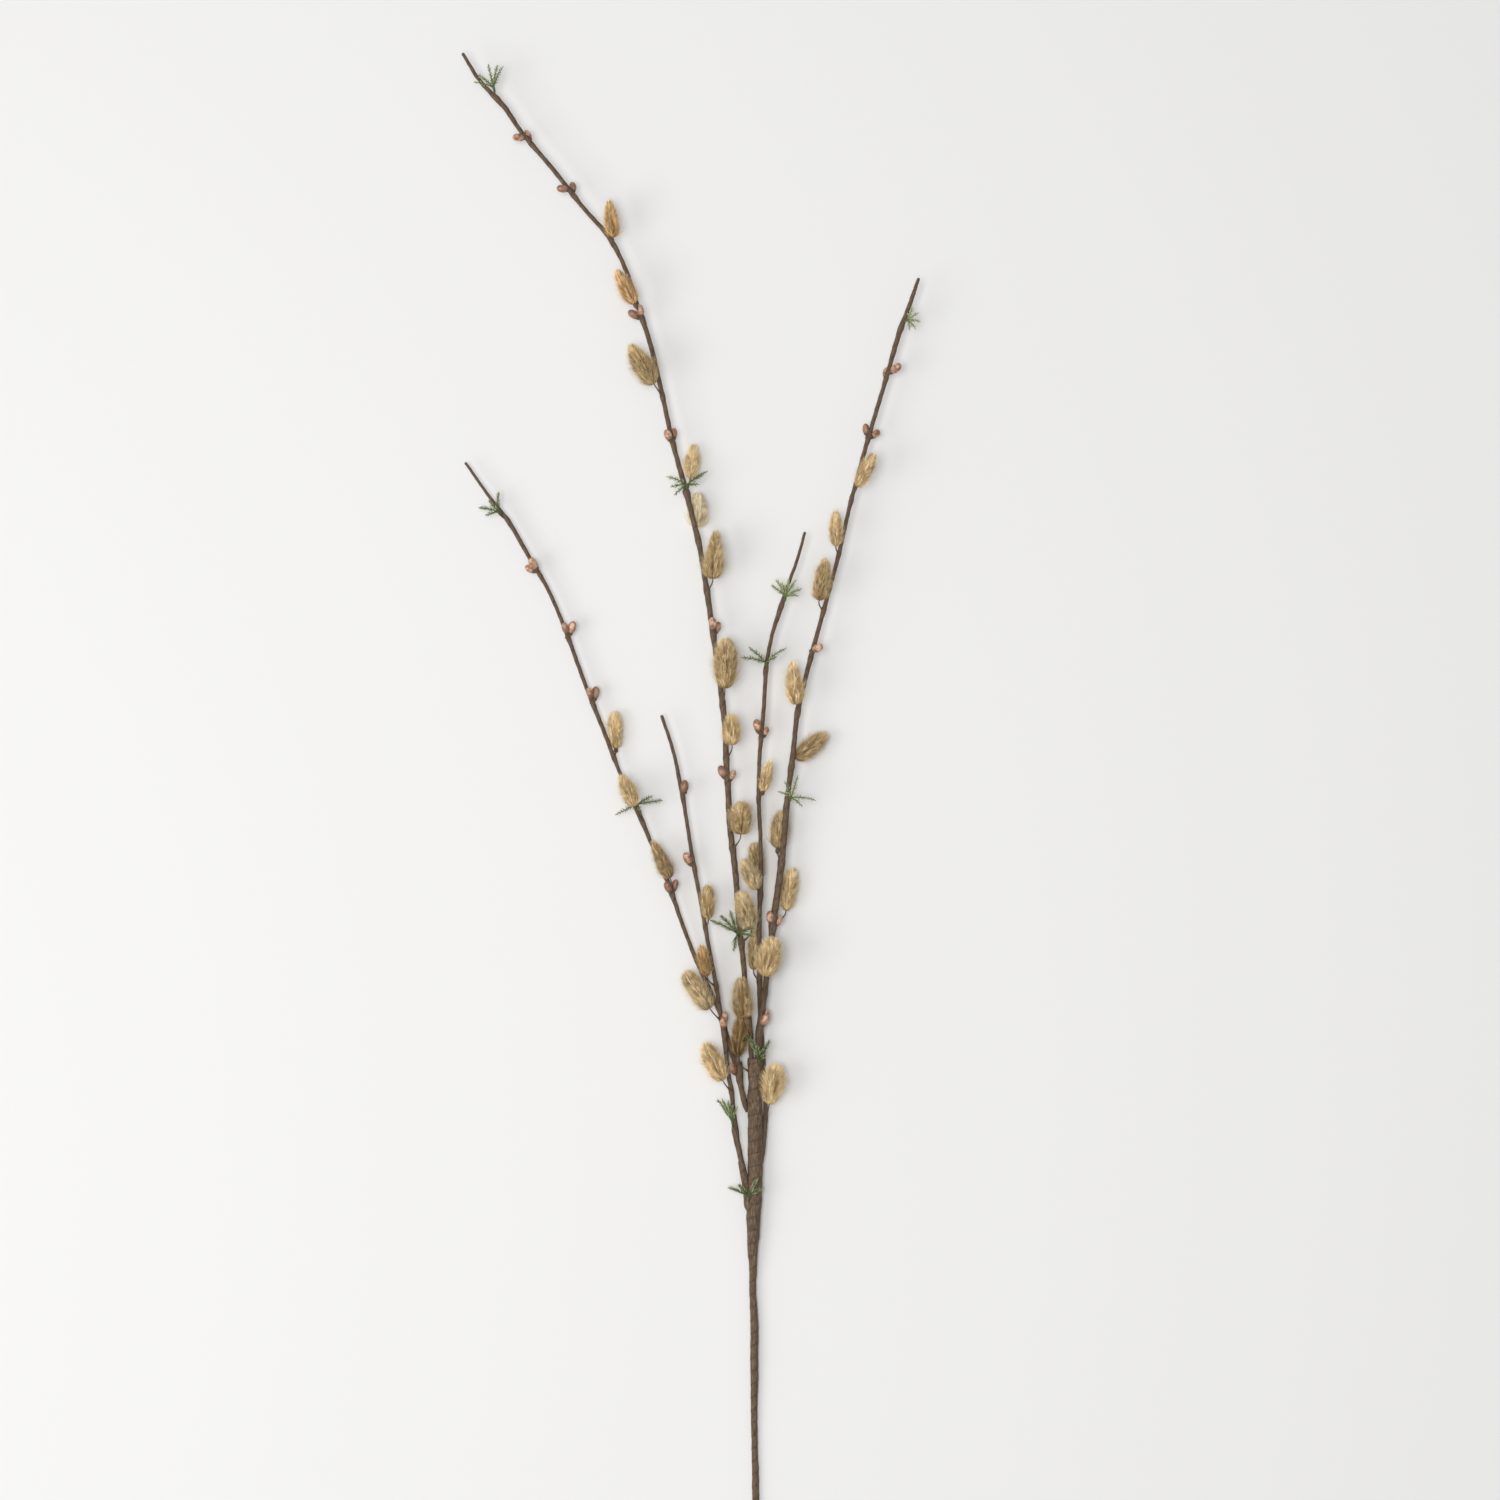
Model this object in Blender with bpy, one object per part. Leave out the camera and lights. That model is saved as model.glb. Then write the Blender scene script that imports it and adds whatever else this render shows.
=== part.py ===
"""Artificial pussy willow spray, lying on a surface.

A tape-wrapped main stem carries five slim shoots. The shoots carry furry catkins on wire stalks,
pairs of moulded buds, and small green needle sprigs. +Y runs from the cut end to the tips, +Z is up,
and the surface is z = 0. The origin lies below the middle of the whole spray.
Lengths are in millimetres up to the place where a mesh is made, which is in metres.
"""

import math
import random

import bmesh
import bpy
from mathutils import Matrix, Vector

MM = 0.001
GAP = 0.3
WELD = 0.00001
# Needles cross in slivers, which the manifold solver joins without open edges.
SOLVER = "MANIFOLD"
# A tube has 4 sides and 2 more for each step of roundness.
STEM_ROUNDNESS = 4
SHOOT_ROUNDNESS = 2
STALK_ROUNDNESS = 0
SMOOTH_ANGLE = 35

# Joint between a shoot and the main stem: a wire pin in a plain hole, on a stub for a side shoot.
PIN_RADIUS = 0.9
PIN_DEPTH = 6.0
HOLE_RADIUS = 1.3
STUB_LENGTH = 24.0
STUB_WALL = 0.6
STUB_START_RADIUS = 0.9
PIN_ROOT = 3.0
HOLE_MOUTH = 2.0

# Wire stalks of the catkins and sprigs. A stalk leaves its stem further back the longer it is.
STALK_RADIUS = 0.65
STALK_REACH = 0.85
STALK_LEAST_REACH = 1.5
STALK_BEND = 0.45
STALK_STEPS = 2
STALK_END = 0.9

# Buds, from the stem's middle line to the tip.
BUD_LENGTH = 9.4
BUD_WIDTH = 5.4
BUD_LEAN = 36
END_ON_LEAN = 74
LEFT = 180
RIGHT = 0
BUD_SIDES = 6
BUD_PROFILE = (0.0, 0.5, 0.98, 0.92, 0.46, 0.0)

# Catkins: share of the length and of the half width, ring by ring from base to tip.
CATKIN_SIDES = 12
CATKIN_PROFILE = ((0.0, 0.0), (0.0, 0.34), (0.15, 0.8), (0.38, 1.0), (0.61, 0.96), (0.81, 0.74),
                  (0.94, 0.42), (0.91, 0.0))
LOCK_RELIEF = 0.24
LOCK_STEP = 0.075
CROWN_STEP = 0.16
LOCK_JITTER = 0.07
# Fur below this height is pressed flat where a catkin lies on the surface.
PRESSED = 1.7

# Green sprigs: a stalk, a knob where it forks, and prongs that carry needles in a spiral.
SPRIG_STALK_RADIUS = 0.8
SPRIG_STALK_SIDES = 5
SPRIG_STALK_LENGTH = 2.2
SPRIG_RISE = Vector((0, 3, 5))
FORK_RADIUS = 1.15
PRONG_RADIUS = 0.7
PRONG_TIP_RADIUS = 0.42
PRONG_SIDES = 4
NEEDLE_LENGTH = 3.2
NEEDLE_RADIUS = 0.38
NEEDLES_ON_PRONG = 3
NEEDLE_LEAN = 40
NEEDLE_TURN = 137.5
FIRST_NEEDLE = 0.32
LAST_NEEDLE = 0.88

# Middle lines, from the foot up: x, y, z and radius. A slope is read over this much to each side.
SLOPE_STEP = 4
MAIN_STEM = (
    (46, -550, 2.0, 2.45), (46, -462, 2.0, 2.45), (45, -413, 2.6, 2.2), (45, -374, 3.2, 2.75),
    (45, -340, 3.5, 2.8), (44, -318, 3.8, 2.4), (44, -300, 4.4, 2.75), (44, -284, 5.2, 3.9),
    (44.5, -267, 5.9, 4.9), (45, -249, 6.3, 5.3), (45.5, -231, 6.5, 5.2), (45.5, -210, 6.6, 5.1),
    (45, -192, 6.6, 4.6), (45, -155, 6.8, 4.4),
)
SHOOTS = {
    "tall": (
        (43, -154.4, 7, 1.7), (41.5, -126, 8.5, 1.75), (39, -105, 9.5, 1.75), (37, -82, 11, 1.9),
        (34, -55, 12.2, 2.0), (32, -24, 13.4, 2.1), (28.5, 4, 14, 2.1), (27, 28, 14.4, 2.1),
        (25.5, 56, 14.4, 2.0), (24, 84, 14.4, 2.0), (20, 118, 14.4, 2.0), (14.5, 156, 14.6, 2.0),
        (7.5, 201, 16, 1.9), (-2, 241, 16, 1.9), (-12, 278, 15.6, 1.7), (-19.5, 312, 15.6, 1.6),
        (-28, 348, 15.8, 1.7), (-37, 375, 16, 1.5), (-44.5, 398, 16.5, 1.5), (-57, 422, 17, 1.6),
        (-74.5, 442, 17.5, 1.5), (-95, 468, 18, 1.6), (-117, 494, 18.5, 1.5), (-129.5, 512, 19, 1.8),
        (-147, 531, 19.5, 1.4), (-159, 550, 20, 1.1),
    ),
    "right": (
        (47.3, -154.4, 7, 2.1), (48.3, -136.5, 9, 2.4), (50.5, -120, 10.8, 2.3), (53, -101.5, 11.8, 2.0),
        (56, -77, 12.5, 2.2), (59, -52.5, 13.6, 2.4), (63, -24.5, 15.5, 2.4), (66, 3.5, 16.8, 2.2),
        (68, 28, 17, 2.0), (72, 59.5, 16.8, 1.9), (75, 87.5, 16.6, 1.8), (80, 110, 16.5, 1.7),
        (86.5, 135, 16.5, 1.6), (95, 166, 16.5, 1.5), (104, 199.5, 16.8, 1.4), (112, 234.5, 17, 1.4),
        (120.5, 266, 17.2, 1.5), (127.5, 290.5, 17.4, 1.5), (136.5, 320.5, 17.6, 1.5),
        (146, 353.5, 18, 1.8), (152.5, 371, 18.5, 1.6), (160, 393, 19, 1.1),
    ),
    "left": (
        (38.1, -184, 6.4, 1.7), (36.5, -177, 6.1, 1.8), (32.5, -160, 5.6, 1.9), (27.5, -144, 5.4, 1.7),
        (21.5, -122.5, 5.4, 1.75), (14.5, -107, 6, 1.75), (3, -81, 7.6, 1.5), (-7, -54.5, 8.8, 1.4),
        (-15, -31, 9.4, 1.7), (-25, -7.5, 9.6, 1.4), (-37, 21, 9.7, 1.6), (-48.5, 45.5, 9.7, 1.3),
        (-60.5, 76.5, 9.7, 1.5), (-74, 110.5, 9.7, 1.4), (-86, 143.5, 9.7, 1.4), (-98.5, 173.5, 9.7, 1.3),
        (-111.5, 196, 9.7, 1.4), (-126.5, 222, 9.8, 1.5), (-141, 241, 10, 1.1), (-157.5, 264.5, 10, 0.95),
    ),
    "middle": (
        (52.2, -203, 4.6, 1.5), (53, -190, 3.6, 1.5), (52.4, -175, 3, 1.5), (51, -150.5, 2.6, 1.6),
        (49.5, -127.5, 3.2, 1.7), (48.7, -105, 8.2, 1.7), (48.5, -80.5, 13.8, 1.7), (48.5, -54.5, 14.6, 1.7),
        (49.7, -24.5, 15, 1.6), (49.2, 3.5, 15.2, 1.4), (48, 31.5, 15, 1.4), (48.8, 59.5, 15.2, 1.4),
        (50.3, 77, 15.5, 1.5), (52, 98, 15.8, 1.4), (53.5, 122.5, 16, 1.5), (57.5, 143.5, 16.3, 1.3),
        (62.5, 159.5, 16.6, 1.7), (68, 176.5, 17, 1.2), (75, 196, 17.4, 1.1), (80.5, 215.5, 18, 1.0),
    ),
    "short": (
        (38, -236, 7.6, 1.8), (35, -221, 8.2, 1.9), (32, -206, 9, 2.2), (29.5, -180.5, 9.6, 1.6),
        (26.5, -161, 10, 1.6), (24, -137, 10.4, 1.7), (21, -119, 10.8, 1.6), (17, -95, 11, 1.4),
        (12, -68.5, 11, 1.4), (7, -40.5, 11, 1.4), (2, -14, 11, 1.4), (-3, 17.5, 11.2, 1.3),
        (-6, 35, 11.4, 1.5), (-12, 63, 11.7, 1.2), (-20, 87.5, 12, 1.2),
    ),
}

# Bud rows: the y of the row on its shoot, and for each bud its turn round the shoot and its lean.
BUDS = {
    "tall": (
        (488, ((LEFT, BUD_LEAN), (RIGHT, BUD_LEAN))), (452, ((LEFT, BUD_LEAN), (RIGHT, BUD_LEAN))),
        (365.5, ((LEFT, BUD_LEAN), (RIGHT, BUD_LEAN))), (279.5, ((LEFT, BUD_LEAN), (RIGHT, BUD_LEAN))),
        (145.5, ((LEFT, BUD_LEAN), (RIGHT, BUD_LEAN))), (42, ((LEFT, BUD_LEAN), (RIGHT, BUD_LEAN))),
    ),
    "right": (
        (323.5, ((LEFT, BUD_LEAN), (RIGHT, BUD_LEAN))), (282, ((LEFT, BUD_LEAN), (RIGHT, BUD_LEAN))),
        (129.5, ((80, END_ON_LEAN),)), (-59, ((140, BUD_LEAN), (RIGHT, BUD_LEAN))),
        (-131, ((70, BUD_LEAN), (-10, BUD_LEAN))),
    ),
    "left": (
        (187.5, ((LEFT, BUD_LEAN), (RIGHT, BUD_LEAN))), (143, ((LEFT, BUD_LEAN), (RIGHT, BUD_LEAN))),
        (96.5, ((LEFT, BUD_LEAN), (RIGHT, BUD_LEAN))), (-37, ((LEFT, BUD_LEAN), (RIGHT, BUD_LEAN))),
        (-166.5, ((LEFT, BUD_LEAN),)),
    ),
    "middle": ((73, ((LEFT, BUD_LEAN), (RIGHT, BUD_LEAN))),),
    "short": ((31.5, ((RIGHT, BUD_LEAN),)), (-18, ((LEFT, BUD_LEAN),)), (-133, ((120, 24), (60, 24)))),
}

# Catkins, from the foot up: base point, tip point and width.
CATKINS = {
    "main": (((35, -152, 13), (31, -121, 13.5), 13.3),),
    "tall": (
        ((35.5, -124.5, 21.5), (35.5, -94, 21), 15.7), ((43.5, -61, 18.6), (32, -34.5, 26.8), 15.4),
        ((36.5, 4, 21), (35.5, 28.5, 22), 16), ((29.5, 66.5, 22.5), (29.5, 89, 24), 14),
        ((24, 106.5, 26), (26, 142, 24.5), 18.2), ((15.5, 181.5, 21.5), (17, 217.5, 20.5), 15.4),
        ((5.5, 217.5, 6.6), (5.5, 243.5, 6.2), 14), ((-3, 252.5, 6.2), (3, 278, 5.6), 12.6),
        ((-24, 318, 22.8), (-41.5, 346, 26), 18.9), ((-40.5, 374, 23), (-52, 397.5, 25), 14),
        ((-53, 421, 21), (-56.5, 447.5, 23), 12),
    ),
    "right": (
        ((53.5, -96, 25), (57, -63, 26.5), 19.6), ((67, -48.5, 6.8), (72, -18, 6), 13.3),
        ((61, -5.5, 6.8), (65, 21.5, 6.4), 14), ((76.5, 56, 12.2), (96, 75.5, 3.6), 16.8),
        ((73, 95, 20.6), (71, 125.5, 22), 13.3), ((90.5, 167.5, 21), (94.5, 198, 24), 14),
        ((102, 205, 20.3), (100.5, 231, 22), 11.2), ((116, 247, 25.5), (127.5, 271.5, 27), 13.3),
    ),
    "left": (
        ((-13.5, -26, 18), (-27, 0, 19), 13.3), ((-37.5, 23, 20.5), (-48, 47, 21.5), 14),
        ((-52, 65, 5.4), (-53, 90, 4.8), 10.8),
    ),
    "middle": (
        ((54.5, -184, 14.5), (59.5, -154.5, 16), 16.8), ((46, -89.5, 5.4), (46, -63, 5), 11.2),
        ((47.5, -28, 6.2), (45, -0.5, 5.4), 11.9), ((46, -35, 19.5), (37, -13.5, 21.5), 12.6),
        ((52, 33.5, 18), (56, 57, 20), 9.4),
    ),
    "short": (
        ((24, -168, 16), (10, -140.5, 17), 16.8), ((15.5, -117, 17), (-5, -91, 18), 18.2),
        ((13.5, -95, 16.5), (6.5, -73, 18), 10.5), ((13.5, -55.5, 15), (12.5, -30, 16.5), 10.8),
    ),
}

# Green sprigs: what carries it, its place there, its root point and the tips of its prongs.
SPRIGS = (
    ("tall", "top", (-136.5, 523.5, 21.8),
     ((-140.5, 540.5, 24.5), (-134.5, 540.5, 22), (-131, 539, 24), (-150, 529, 24), (-147, 533.5, 26))),
    ("tall", "mid", (-2, 246.5, 19.8),
     ((-14.5, 253.5, 21), (-12.5, 247, 20), (8.5, 255, 21), (5, 248.5, 20))),
    ("tall", "low", (33.5, -66.5, 15.8),
     ((17, -57.5, 19), (22.5, -55.5, 22.5), (26.5, -53, 19.5), (45, -61.5, 28), (42, -64.5, 25))),
    ("right", "top", (150.5, 362.5, 21.4), ((155.5, 370.5, 24), (159, 362.5, 22.5), (156, 360, 21))),
    ("right", "mid", (70, 28, 20.8),
     ((66.5, 40.5, 24.5), (62.5, 35.5, 22.5), (74, 45, 24), (80, 40, 22), (86, 29.5, 20), (77, 24.5, 21))),
    ("left", "top", (-133, 228, 12.8),
     ((-144, 232.5, 13), (-141.5, 229.5, 16), (-135, 240, 14), (-139.5, 236.5, 17))),
    ("left", "mid", (-38, 24.5, 13.5), ((-51, 18, 14), (-19.5, 27.5, 14.5), (-26.5, 30, 12.5), (-34, 20, 15))),
    ("middle", "top", (66.5, 168, 19.6),
     ((59, 178, 22), (61.5, 180, 20), (65, 176.5, 25), (71.5, 179, 22), (75, 175, 21), (74, 171, 23.5))),
    ("middle", "low", (54, 122.5, 18.8),
     ((37, 127.5, 20.5), (42, 133, 22.5), (46, 129.5, 25), (65, 133, 21.5), (59.5, 129.5, 23.5))),
    ("main", "top", (47, -159, 12.8),
     ((42.5, -140.5, 17), (44, -137, 20.5), (47.5, -136.5, 17), (51, -138, 19.5), (54.5, -142, 17),
      (53, -150, 20))),
    ("main", "low", (41, -251.5, 12), ((28.5, -243, 14), (49, -243, 16), (47, -239.5, 18.5))),
    ("short", "low", (30, -199.5, 12.8),
     ((22.5, -184, 16), (26, -185, 19), (30, -186, 15.5), (33.5, -189, 18))),
)

TAPE_BROWN = (0.16, 0.115, 0.085, 1)
BUD_COPPER = (0.42, 0.17, 0.115, 1)
FUR_TAN = (0.50, 0.36, 0.22, 1)
SPRIG_GREEN = (0.10, 0.19, 0.05, 1)


def material(name, colour, roughness):
    made = bpy.data.materials.new(name)
    made.use_nodes = True
    shader = made.node_tree.nodes["Principled BSDF"]
    shader.inputs["Base Color"].default_value = colour
    shader.inputs["Roughness"].default_value = roughness
    shader.inputs["Metallic"].default_value = 0
    made.diffuse_color = colour
    return made


def smooth(mesh):
    mesh.shade_smooth()
    mesh.set_sharp_from_angle(angle=math.radians(SMOOTH_ANGLE))


def tube(name, points, radii, resolution, finish):
    """A round bar along the points, as a welded mesh object."""
    curve = bpy.data.curves.new(name, "CURVE")
    curve.dimensions = "3D"
    curve.bevel_depth = MM
    curve.bevel_resolution = resolution
    curve.use_fill_caps = True
    spline = curve.splines.new("POLY")
    spline.points.add(len(points) - 1)
    for at, point, radius in zip(spline.points, points, radii):
        at.co = (*(Vector(point) * MM), 1)
        at.radius = radius
    bar = bpy.data.objects.new(name + "_curve", curve)
    spray.objects.link(bar)
    graph = bpy.context.evaluated_depsgraph_get()
    mesh = bpy.data.meshes.new_from_object(bar.evaluated_get(graph))
    weld = bmesh.new()
    weld.from_mesh(mesh)
    bmesh.ops.remove_doubles(weld, verts=weld.verts, dist=WELD)
    bmesh.ops.recalc_face_normals(weld, faces=weld.faces)
    weld.to_mesh(mesh)
    weld.free()
    made = bpy.data.objects.new(name, mesh)
    made.matrix_world = bar.matrix_world
    spray.objects.link(made)
    bpy.data.objects.remove(bar)
    bpy.data.curves.remove(curve)
    mesh.materials.clear()
    mesh.materials.append(finish)
    return made


def object_of(name, shape, finish):
    mesh = bpy.data.meshes.new(name)
    shape.to_mesh(mesh)
    shape.free()
    mesh.materials.append(finish)
    made = bpy.data.objects.new(name, mesh)
    spray.objects.link(made)
    return made


def drop_scraps(shape):
    """Keeps the largest closed skin: a small one is a loose scrap or the wall of a sealed hollow."""
    left = set(shape.verts)
    skins = []
    while left:
        skin = set()
        edge = [left.pop()]
        while edge:
            vertex = edge.pop()
            skin.add(vertex)
            near = {link.other_vert(vertex) for link in vertex.link_edges} & left
            left -= near
            edge += near
        skins.append(skin)
    skins.sort(key=len)
    for skin in skins[:-1]:
        bmesh.ops.delete(shape, geom=list(skin), context="VERTS")


def combine(body, others, operation):
    """Applies one Boolean with all the others, and removes them."""
    group = bpy.data.collections.new(body.name + "_repeats")
    bpy.context.scene.collection.children.link(group)
    for other in others:
        spray.objects.unlink(other)
        group.objects.link(other)
    join = body.modifiers.new("repeats", "BOOLEAN")
    join.operation = operation
    join.operand_type = "COLLECTION"
    join.collection = group
    join.material_mode = "TRANSFER"
    join.solver = SOLVER
    graph = bpy.context.evaluated_depsgraph_get()
    mesh = bpy.data.meshes.new_from_object(body.evaluated_get(graph))
    body.modifiers.clear()
    body.data = mesh
    mesh.name = body.name
    for other in others:
        bpy.data.objects.remove(other)
    bpy.data.collections.remove(group)
    tidy = bmesh.new()
    tidy.from_mesh(mesh)
    drop_scraps(tidy)
    bmesh.ops.triangulate(tidy, faces=tidy.faces)
    tidy.to_mesh(mesh)
    tidy.free()


def centre_at(route, y):
    """The point of a middle line at this y, which rises along every one of them."""
    y = min(max(y, route[0][1]), route[-1][1])
    for low, high in zip(route, route[1:]):
        if y <= high[1]:
            share = (y - low[1]) / (high[1] - low[1])
            return Vector(low[:3]).lerp(Vector(high[:3]), share)
    return Vector(route[-1][:3])


def direction_at(route, y):
    return (centre_at(route, y + SLOPE_STEP) - centre_at(route, y - SLOPE_STEP)).normalized()


def stalk(name, route, base, axis, radius):
    """A wire from a stem's middle line to just below the base of what it carries."""
    away = (base - centre_at(route, base.y)).length
    root = centre_at(route, base.y - STALK_LEAST_REACH - STALK_REACH * away)
    end = base - axis * (GAP + STALK_END)
    bend = end - axis * (STALK_BEND * (end - root).length)
    points = []
    for step in range(STALK_STEPS + 1):
        t = step / STALK_STEPS
        points.append(root * (1 - t) ** 2 + bend * 2 * t * (1 - t) + end * t ** 2)
    points.append(base - axis * GAP)
    return tube(name, points, [radius] * len(points), STALK_ROUNDNESS, tape)


def bud(name, route, y, turn, lean):
    """A pointed bud whose root is sunk in the shoot."""
    along = direction_at(route, y)
    side = Vector((along.y, -along.x, 0)).normalized()
    up = side.cross(along)
    out = side * math.cos(math.radians(turn)) + up * math.sin(math.radians(turn))
    axis = along * math.cos(math.radians(lean)) + out * math.sin(math.radians(lean))
    shape = bmesh.new()
    rings = len(BUD_PROFILE) - 1
    bmesh.ops.create_uvsphere(shape, u_segments=BUD_SIDES, v_segments=rings, radius=1)
    for vertex in shape.verts:
        ring = round(math.acos(max(-1, min(1, -vertex.co.z))) / math.pi * rings)
        flat = Vector((vertex.co.x, vertex.co.y))
        if flat.length > 0.001:
            flat = flat.normalized() * BUD_PROFILE[ring] * BUD_WIDTH / 2
        vertex.co = (flat.x, flat.y, BUD_LENGTH * ring / rings)
    place = Matrix.Translation(centre_at(route, y)) @ axis.to_track_quat("Z", "Y").to_matrix().to_4x4()
    bmesh.ops.transform(shape, matrix=Matrix.Scale(MM, 4) @ place, verts=shape.verts)
    return object_of(name, shape, copper)


def catkin(name, base, tip, width, seed):
    """An egg of fur whose locks stand out in staggered rows, with a ragged crown and a flat base."""
    draw = random.Random(seed)
    axis = tip - base
    length = axis.length
    rings = len(CATKIN_PROFILE) - 1
    shape = bmesh.new()
    bmesh.ops.create_uvsphere(shape, u_segments=CATKIN_SIDES, v_segments=rings, radius=1)
    for vertex in shape.verts:
        ring = round(math.acos(max(-1, min(1, -vertex.co.z))) / math.pi * rings)
        along, share = CATKIN_PROFILE[ring]
        flat = Vector((vertex.co.x, vertex.co.y))
        if flat.length > 0.001:
            column = round(math.atan2(flat.y, flat.x) / (2 * math.pi) * CATKIN_SIDES)
            proud = (column + ring) % 2 == 0
            if ring > 1:
                share *= (1 if proud else 1 - LOCK_RELIEF) - draw.uniform(0, LOCK_JITTER)
                step = CROWN_STEP if ring == rings - 1 else LOCK_STEP
                along += (step if proud else -step) / 2
            flat = flat.normalized() * share * width / 2
        vertex.co = (flat.x, flat.y, along * length)
    place = Matrix.Translation(base) @ axis.to_track_quat("Z", "Y").to_matrix().to_4x4()
    bmesh.ops.transform(shape, matrix=place, verts=shape.verts)
    lies_down = min(vertex.co.z for vertex in shape.verts) < PRESSED / 2
    for vertex in shape.verts:
        if lies_down and vertex.co.z < PRESSED:
            vertex.co.z = 0
    bmesh.ops.scale(shape, vec=(MM, MM, MM), verts=shape.verts)
    made = object_of(name, shape, fur)
    smooth(made.data)
    return made


def spike(start, end, radius, tip_radius, sides):
    """A tapered bar between two points."""
    shape = bmesh.new()
    length = (end - start).length
    bmesh.ops.create_cone(
        shape, cap_ends=True, segments=sides, radius1=radius, radius2=tip_radius, depth=length
    )
    turn = (end - start).to_track_quat("Z", "Y").to_matrix().to_4x4()
    place = Matrix.Translation((start + end) / 2) @ turn
    bmesh.ops.transform(shape, matrix=Matrix.Scale(MM, 4) @ place, verts=shape.verts)
    return object_of("spike", shape, green)


def sprig_axis(root, tips):
    middle = sum((Vector(tip) for tip in tips), Vector()) / len(tips)
    return (middle - Vector(root) + SPRIG_RISE).normalized()


def sprig(name, root, tips):
    """A short stalk that forks into prongs, each a slim core with needles round it."""
    root = Vector(root)
    axis = sprig_axis(root, tips)
    fork = root + axis * SPRIG_STALK_LENGTH
    body = spike(root, fork, SPRIG_STALK_RADIUS, SPRIG_STALK_RADIUS, SPRIG_STALK_SIDES)
    body.name = name
    knob = bmesh.new()
    place = Matrix.Scale(MM, 4) @ Matrix.Translation(fork)
    bmesh.ops.create_icosphere(knob, subdivisions=1, radius=FORK_RADIUS, matrix=place)
    repeats = [object_of("knob", knob, green)]
    for number, tip in enumerate(tips):
        tip = Vector(tip)
        along = (tip - fork).normalized()
        repeats.append(spike(fork, tip, PRONG_RADIUS, PRONG_TIP_RADIUS, PRONG_SIDES))
        side = along.orthogonal().normalized()
        other = along.cross(side)
        for needle in range(NEEDLES_ON_PRONG):
            turn = math.radians(NEEDLE_TURN * (needle + number))
            out = side * math.cos(turn) + other * math.sin(turn)
            share = needle / (NEEDLES_ON_PRONG - 1)
            start = fork.lerp(tip, FIRST_NEEDLE + (LAST_NEEDLE - FIRST_NEEDLE) * share)
            lean = math.radians(NEEDLE_LEAN)
            end = start + (along * math.cos(lean) + out * math.sin(lean)) * NEEDLE_LENGTH
            repeats.append(spike(start, end, NEEDLE_RADIUS, 0, 3))
    combine(body, repeats, "UNION")
    return body


def pin_line(route):
    first, second = Vector(route[0][:3]), Vector(route[1][:3])
    return first, (second - first).normalized()


def shoot(key):
    """A tapered bar with its pin, its buds and the stalks of what it carries."""
    route = SHOOTS[key]
    points = [row[:3] for row in route]
    radii = [row[3] for row in route]
    body = tube("shoot_" + key, points, radii, SHOOT_ROUNDNESS, tape)
    foot, along = pin_line(route)
    ends = [foot + along * PIN_ROOT, foot - along * PIN_DEPTH]
    pin = tube("pin", ends, [PIN_RADIUS] * 2, SHOOT_ROUNDNESS, tape)
    repeats = [pin]
    for y, pair in BUDS[key]:
        repeats += [bud("bud", route, y, turn, lean) for turn, lean in pair]
    repeats += stalks(key, route)
    combine(body, repeats, "UNION")
    smooth(body.data)


def stalks(key, route):
    found = []
    for base, tip, _ in CATKINS[key]:
        axis = (Vector(tip) - Vector(base)).normalized()
        found.append(stalk("stalk", route, Vector(base), axis, STALK_RADIUS))
    for carrier, _, root, tips in SPRIGS:
        if carrier == key:
            found.append(stalk("stalk", route, Vector(root), sprig_axis(root, tips), SPRIG_STALK_RADIUS))
    return found


def main_stem():
    """The thick stem: stubs for three shoots, holes for all five pins, and a flat where it rests."""
    points = [row[:3] for row in MAIN_STEM]
    radii = [row[3] for row in MAIN_STEM]
    body = tube("main_stem", points, radii, STEM_ROUNDNESS, tape)
    repeats = stalks("main", MAIN_STEM)
    for key in ("left", "middle", "short"):
        foot, along = pin_line(SHOOTS[key])
        ends = [foot - along * STUB_LENGTH, foot - along * GAP]
        radii = [STUB_START_RADIUS, SHOOTS[key][0][3] + STUB_WALL]
        repeats.append(tube("stub", ends, radii, SHOOT_ROUNDNESS, tape))
    combine(body, repeats, "UNION")
    holes = []
    for route in SHOOTS.values():
        foot, along = pin_line(route)
        ends = [foot + along * HOLE_MOUTH, foot - along * (PIN_DEPTH + GAP)]
        holes.append(tube("hole", ends, [HOLE_RADIUS] * 2, SHOOT_ROUNDNESS, tape))
    combine(body, holes, "DIFFERENCE")
    for vertex in body.data.vertices:
        vertex.co.z = max(vertex.co.z, 0)
    smooth(body.data)


for leftover in list(bpy.data.objects):
    bpy.data.objects.remove(leftover)
spray = bpy.data.collections.new("pussy_willow_spray")
bpy.context.scene.collection.children.link(spray)
tape = material("stem_tape", TAPE_BROWN, 0.8)
copper = material("bud_copper", BUD_COPPER, 0.5)
fur = material("catkin_fur", FUR_TAN, 0.95)
green = material("sprig_green", SPRIG_GREEN, 0.5)

main_stem()
for shoot_key in SHOOTS:
    shoot(shoot_key)
for carrier_key, rows in CATKINS.items():
    for order, (foot_point, tip_point, across) in enumerate(rows, 1):
        catkin_name = f"catkin_{carrier_key}_{order:02d}"
        catkin(catkin_name, Vector(foot_point), Vector(tip_point), across, len(catkin_name) * 100 + order)
for carrier_key, place_name, root_point, prong_tips in SPRIGS:
    sprig(f"sprig_{carrier_key}_{place_name}", root_point, prong_tips)
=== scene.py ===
"""The looks of an artificial pussy willow spray, lying on a pale surface.

Lengths are in millimetres up to the place where a mesh is made, which is in metres.
"""

import math

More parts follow.
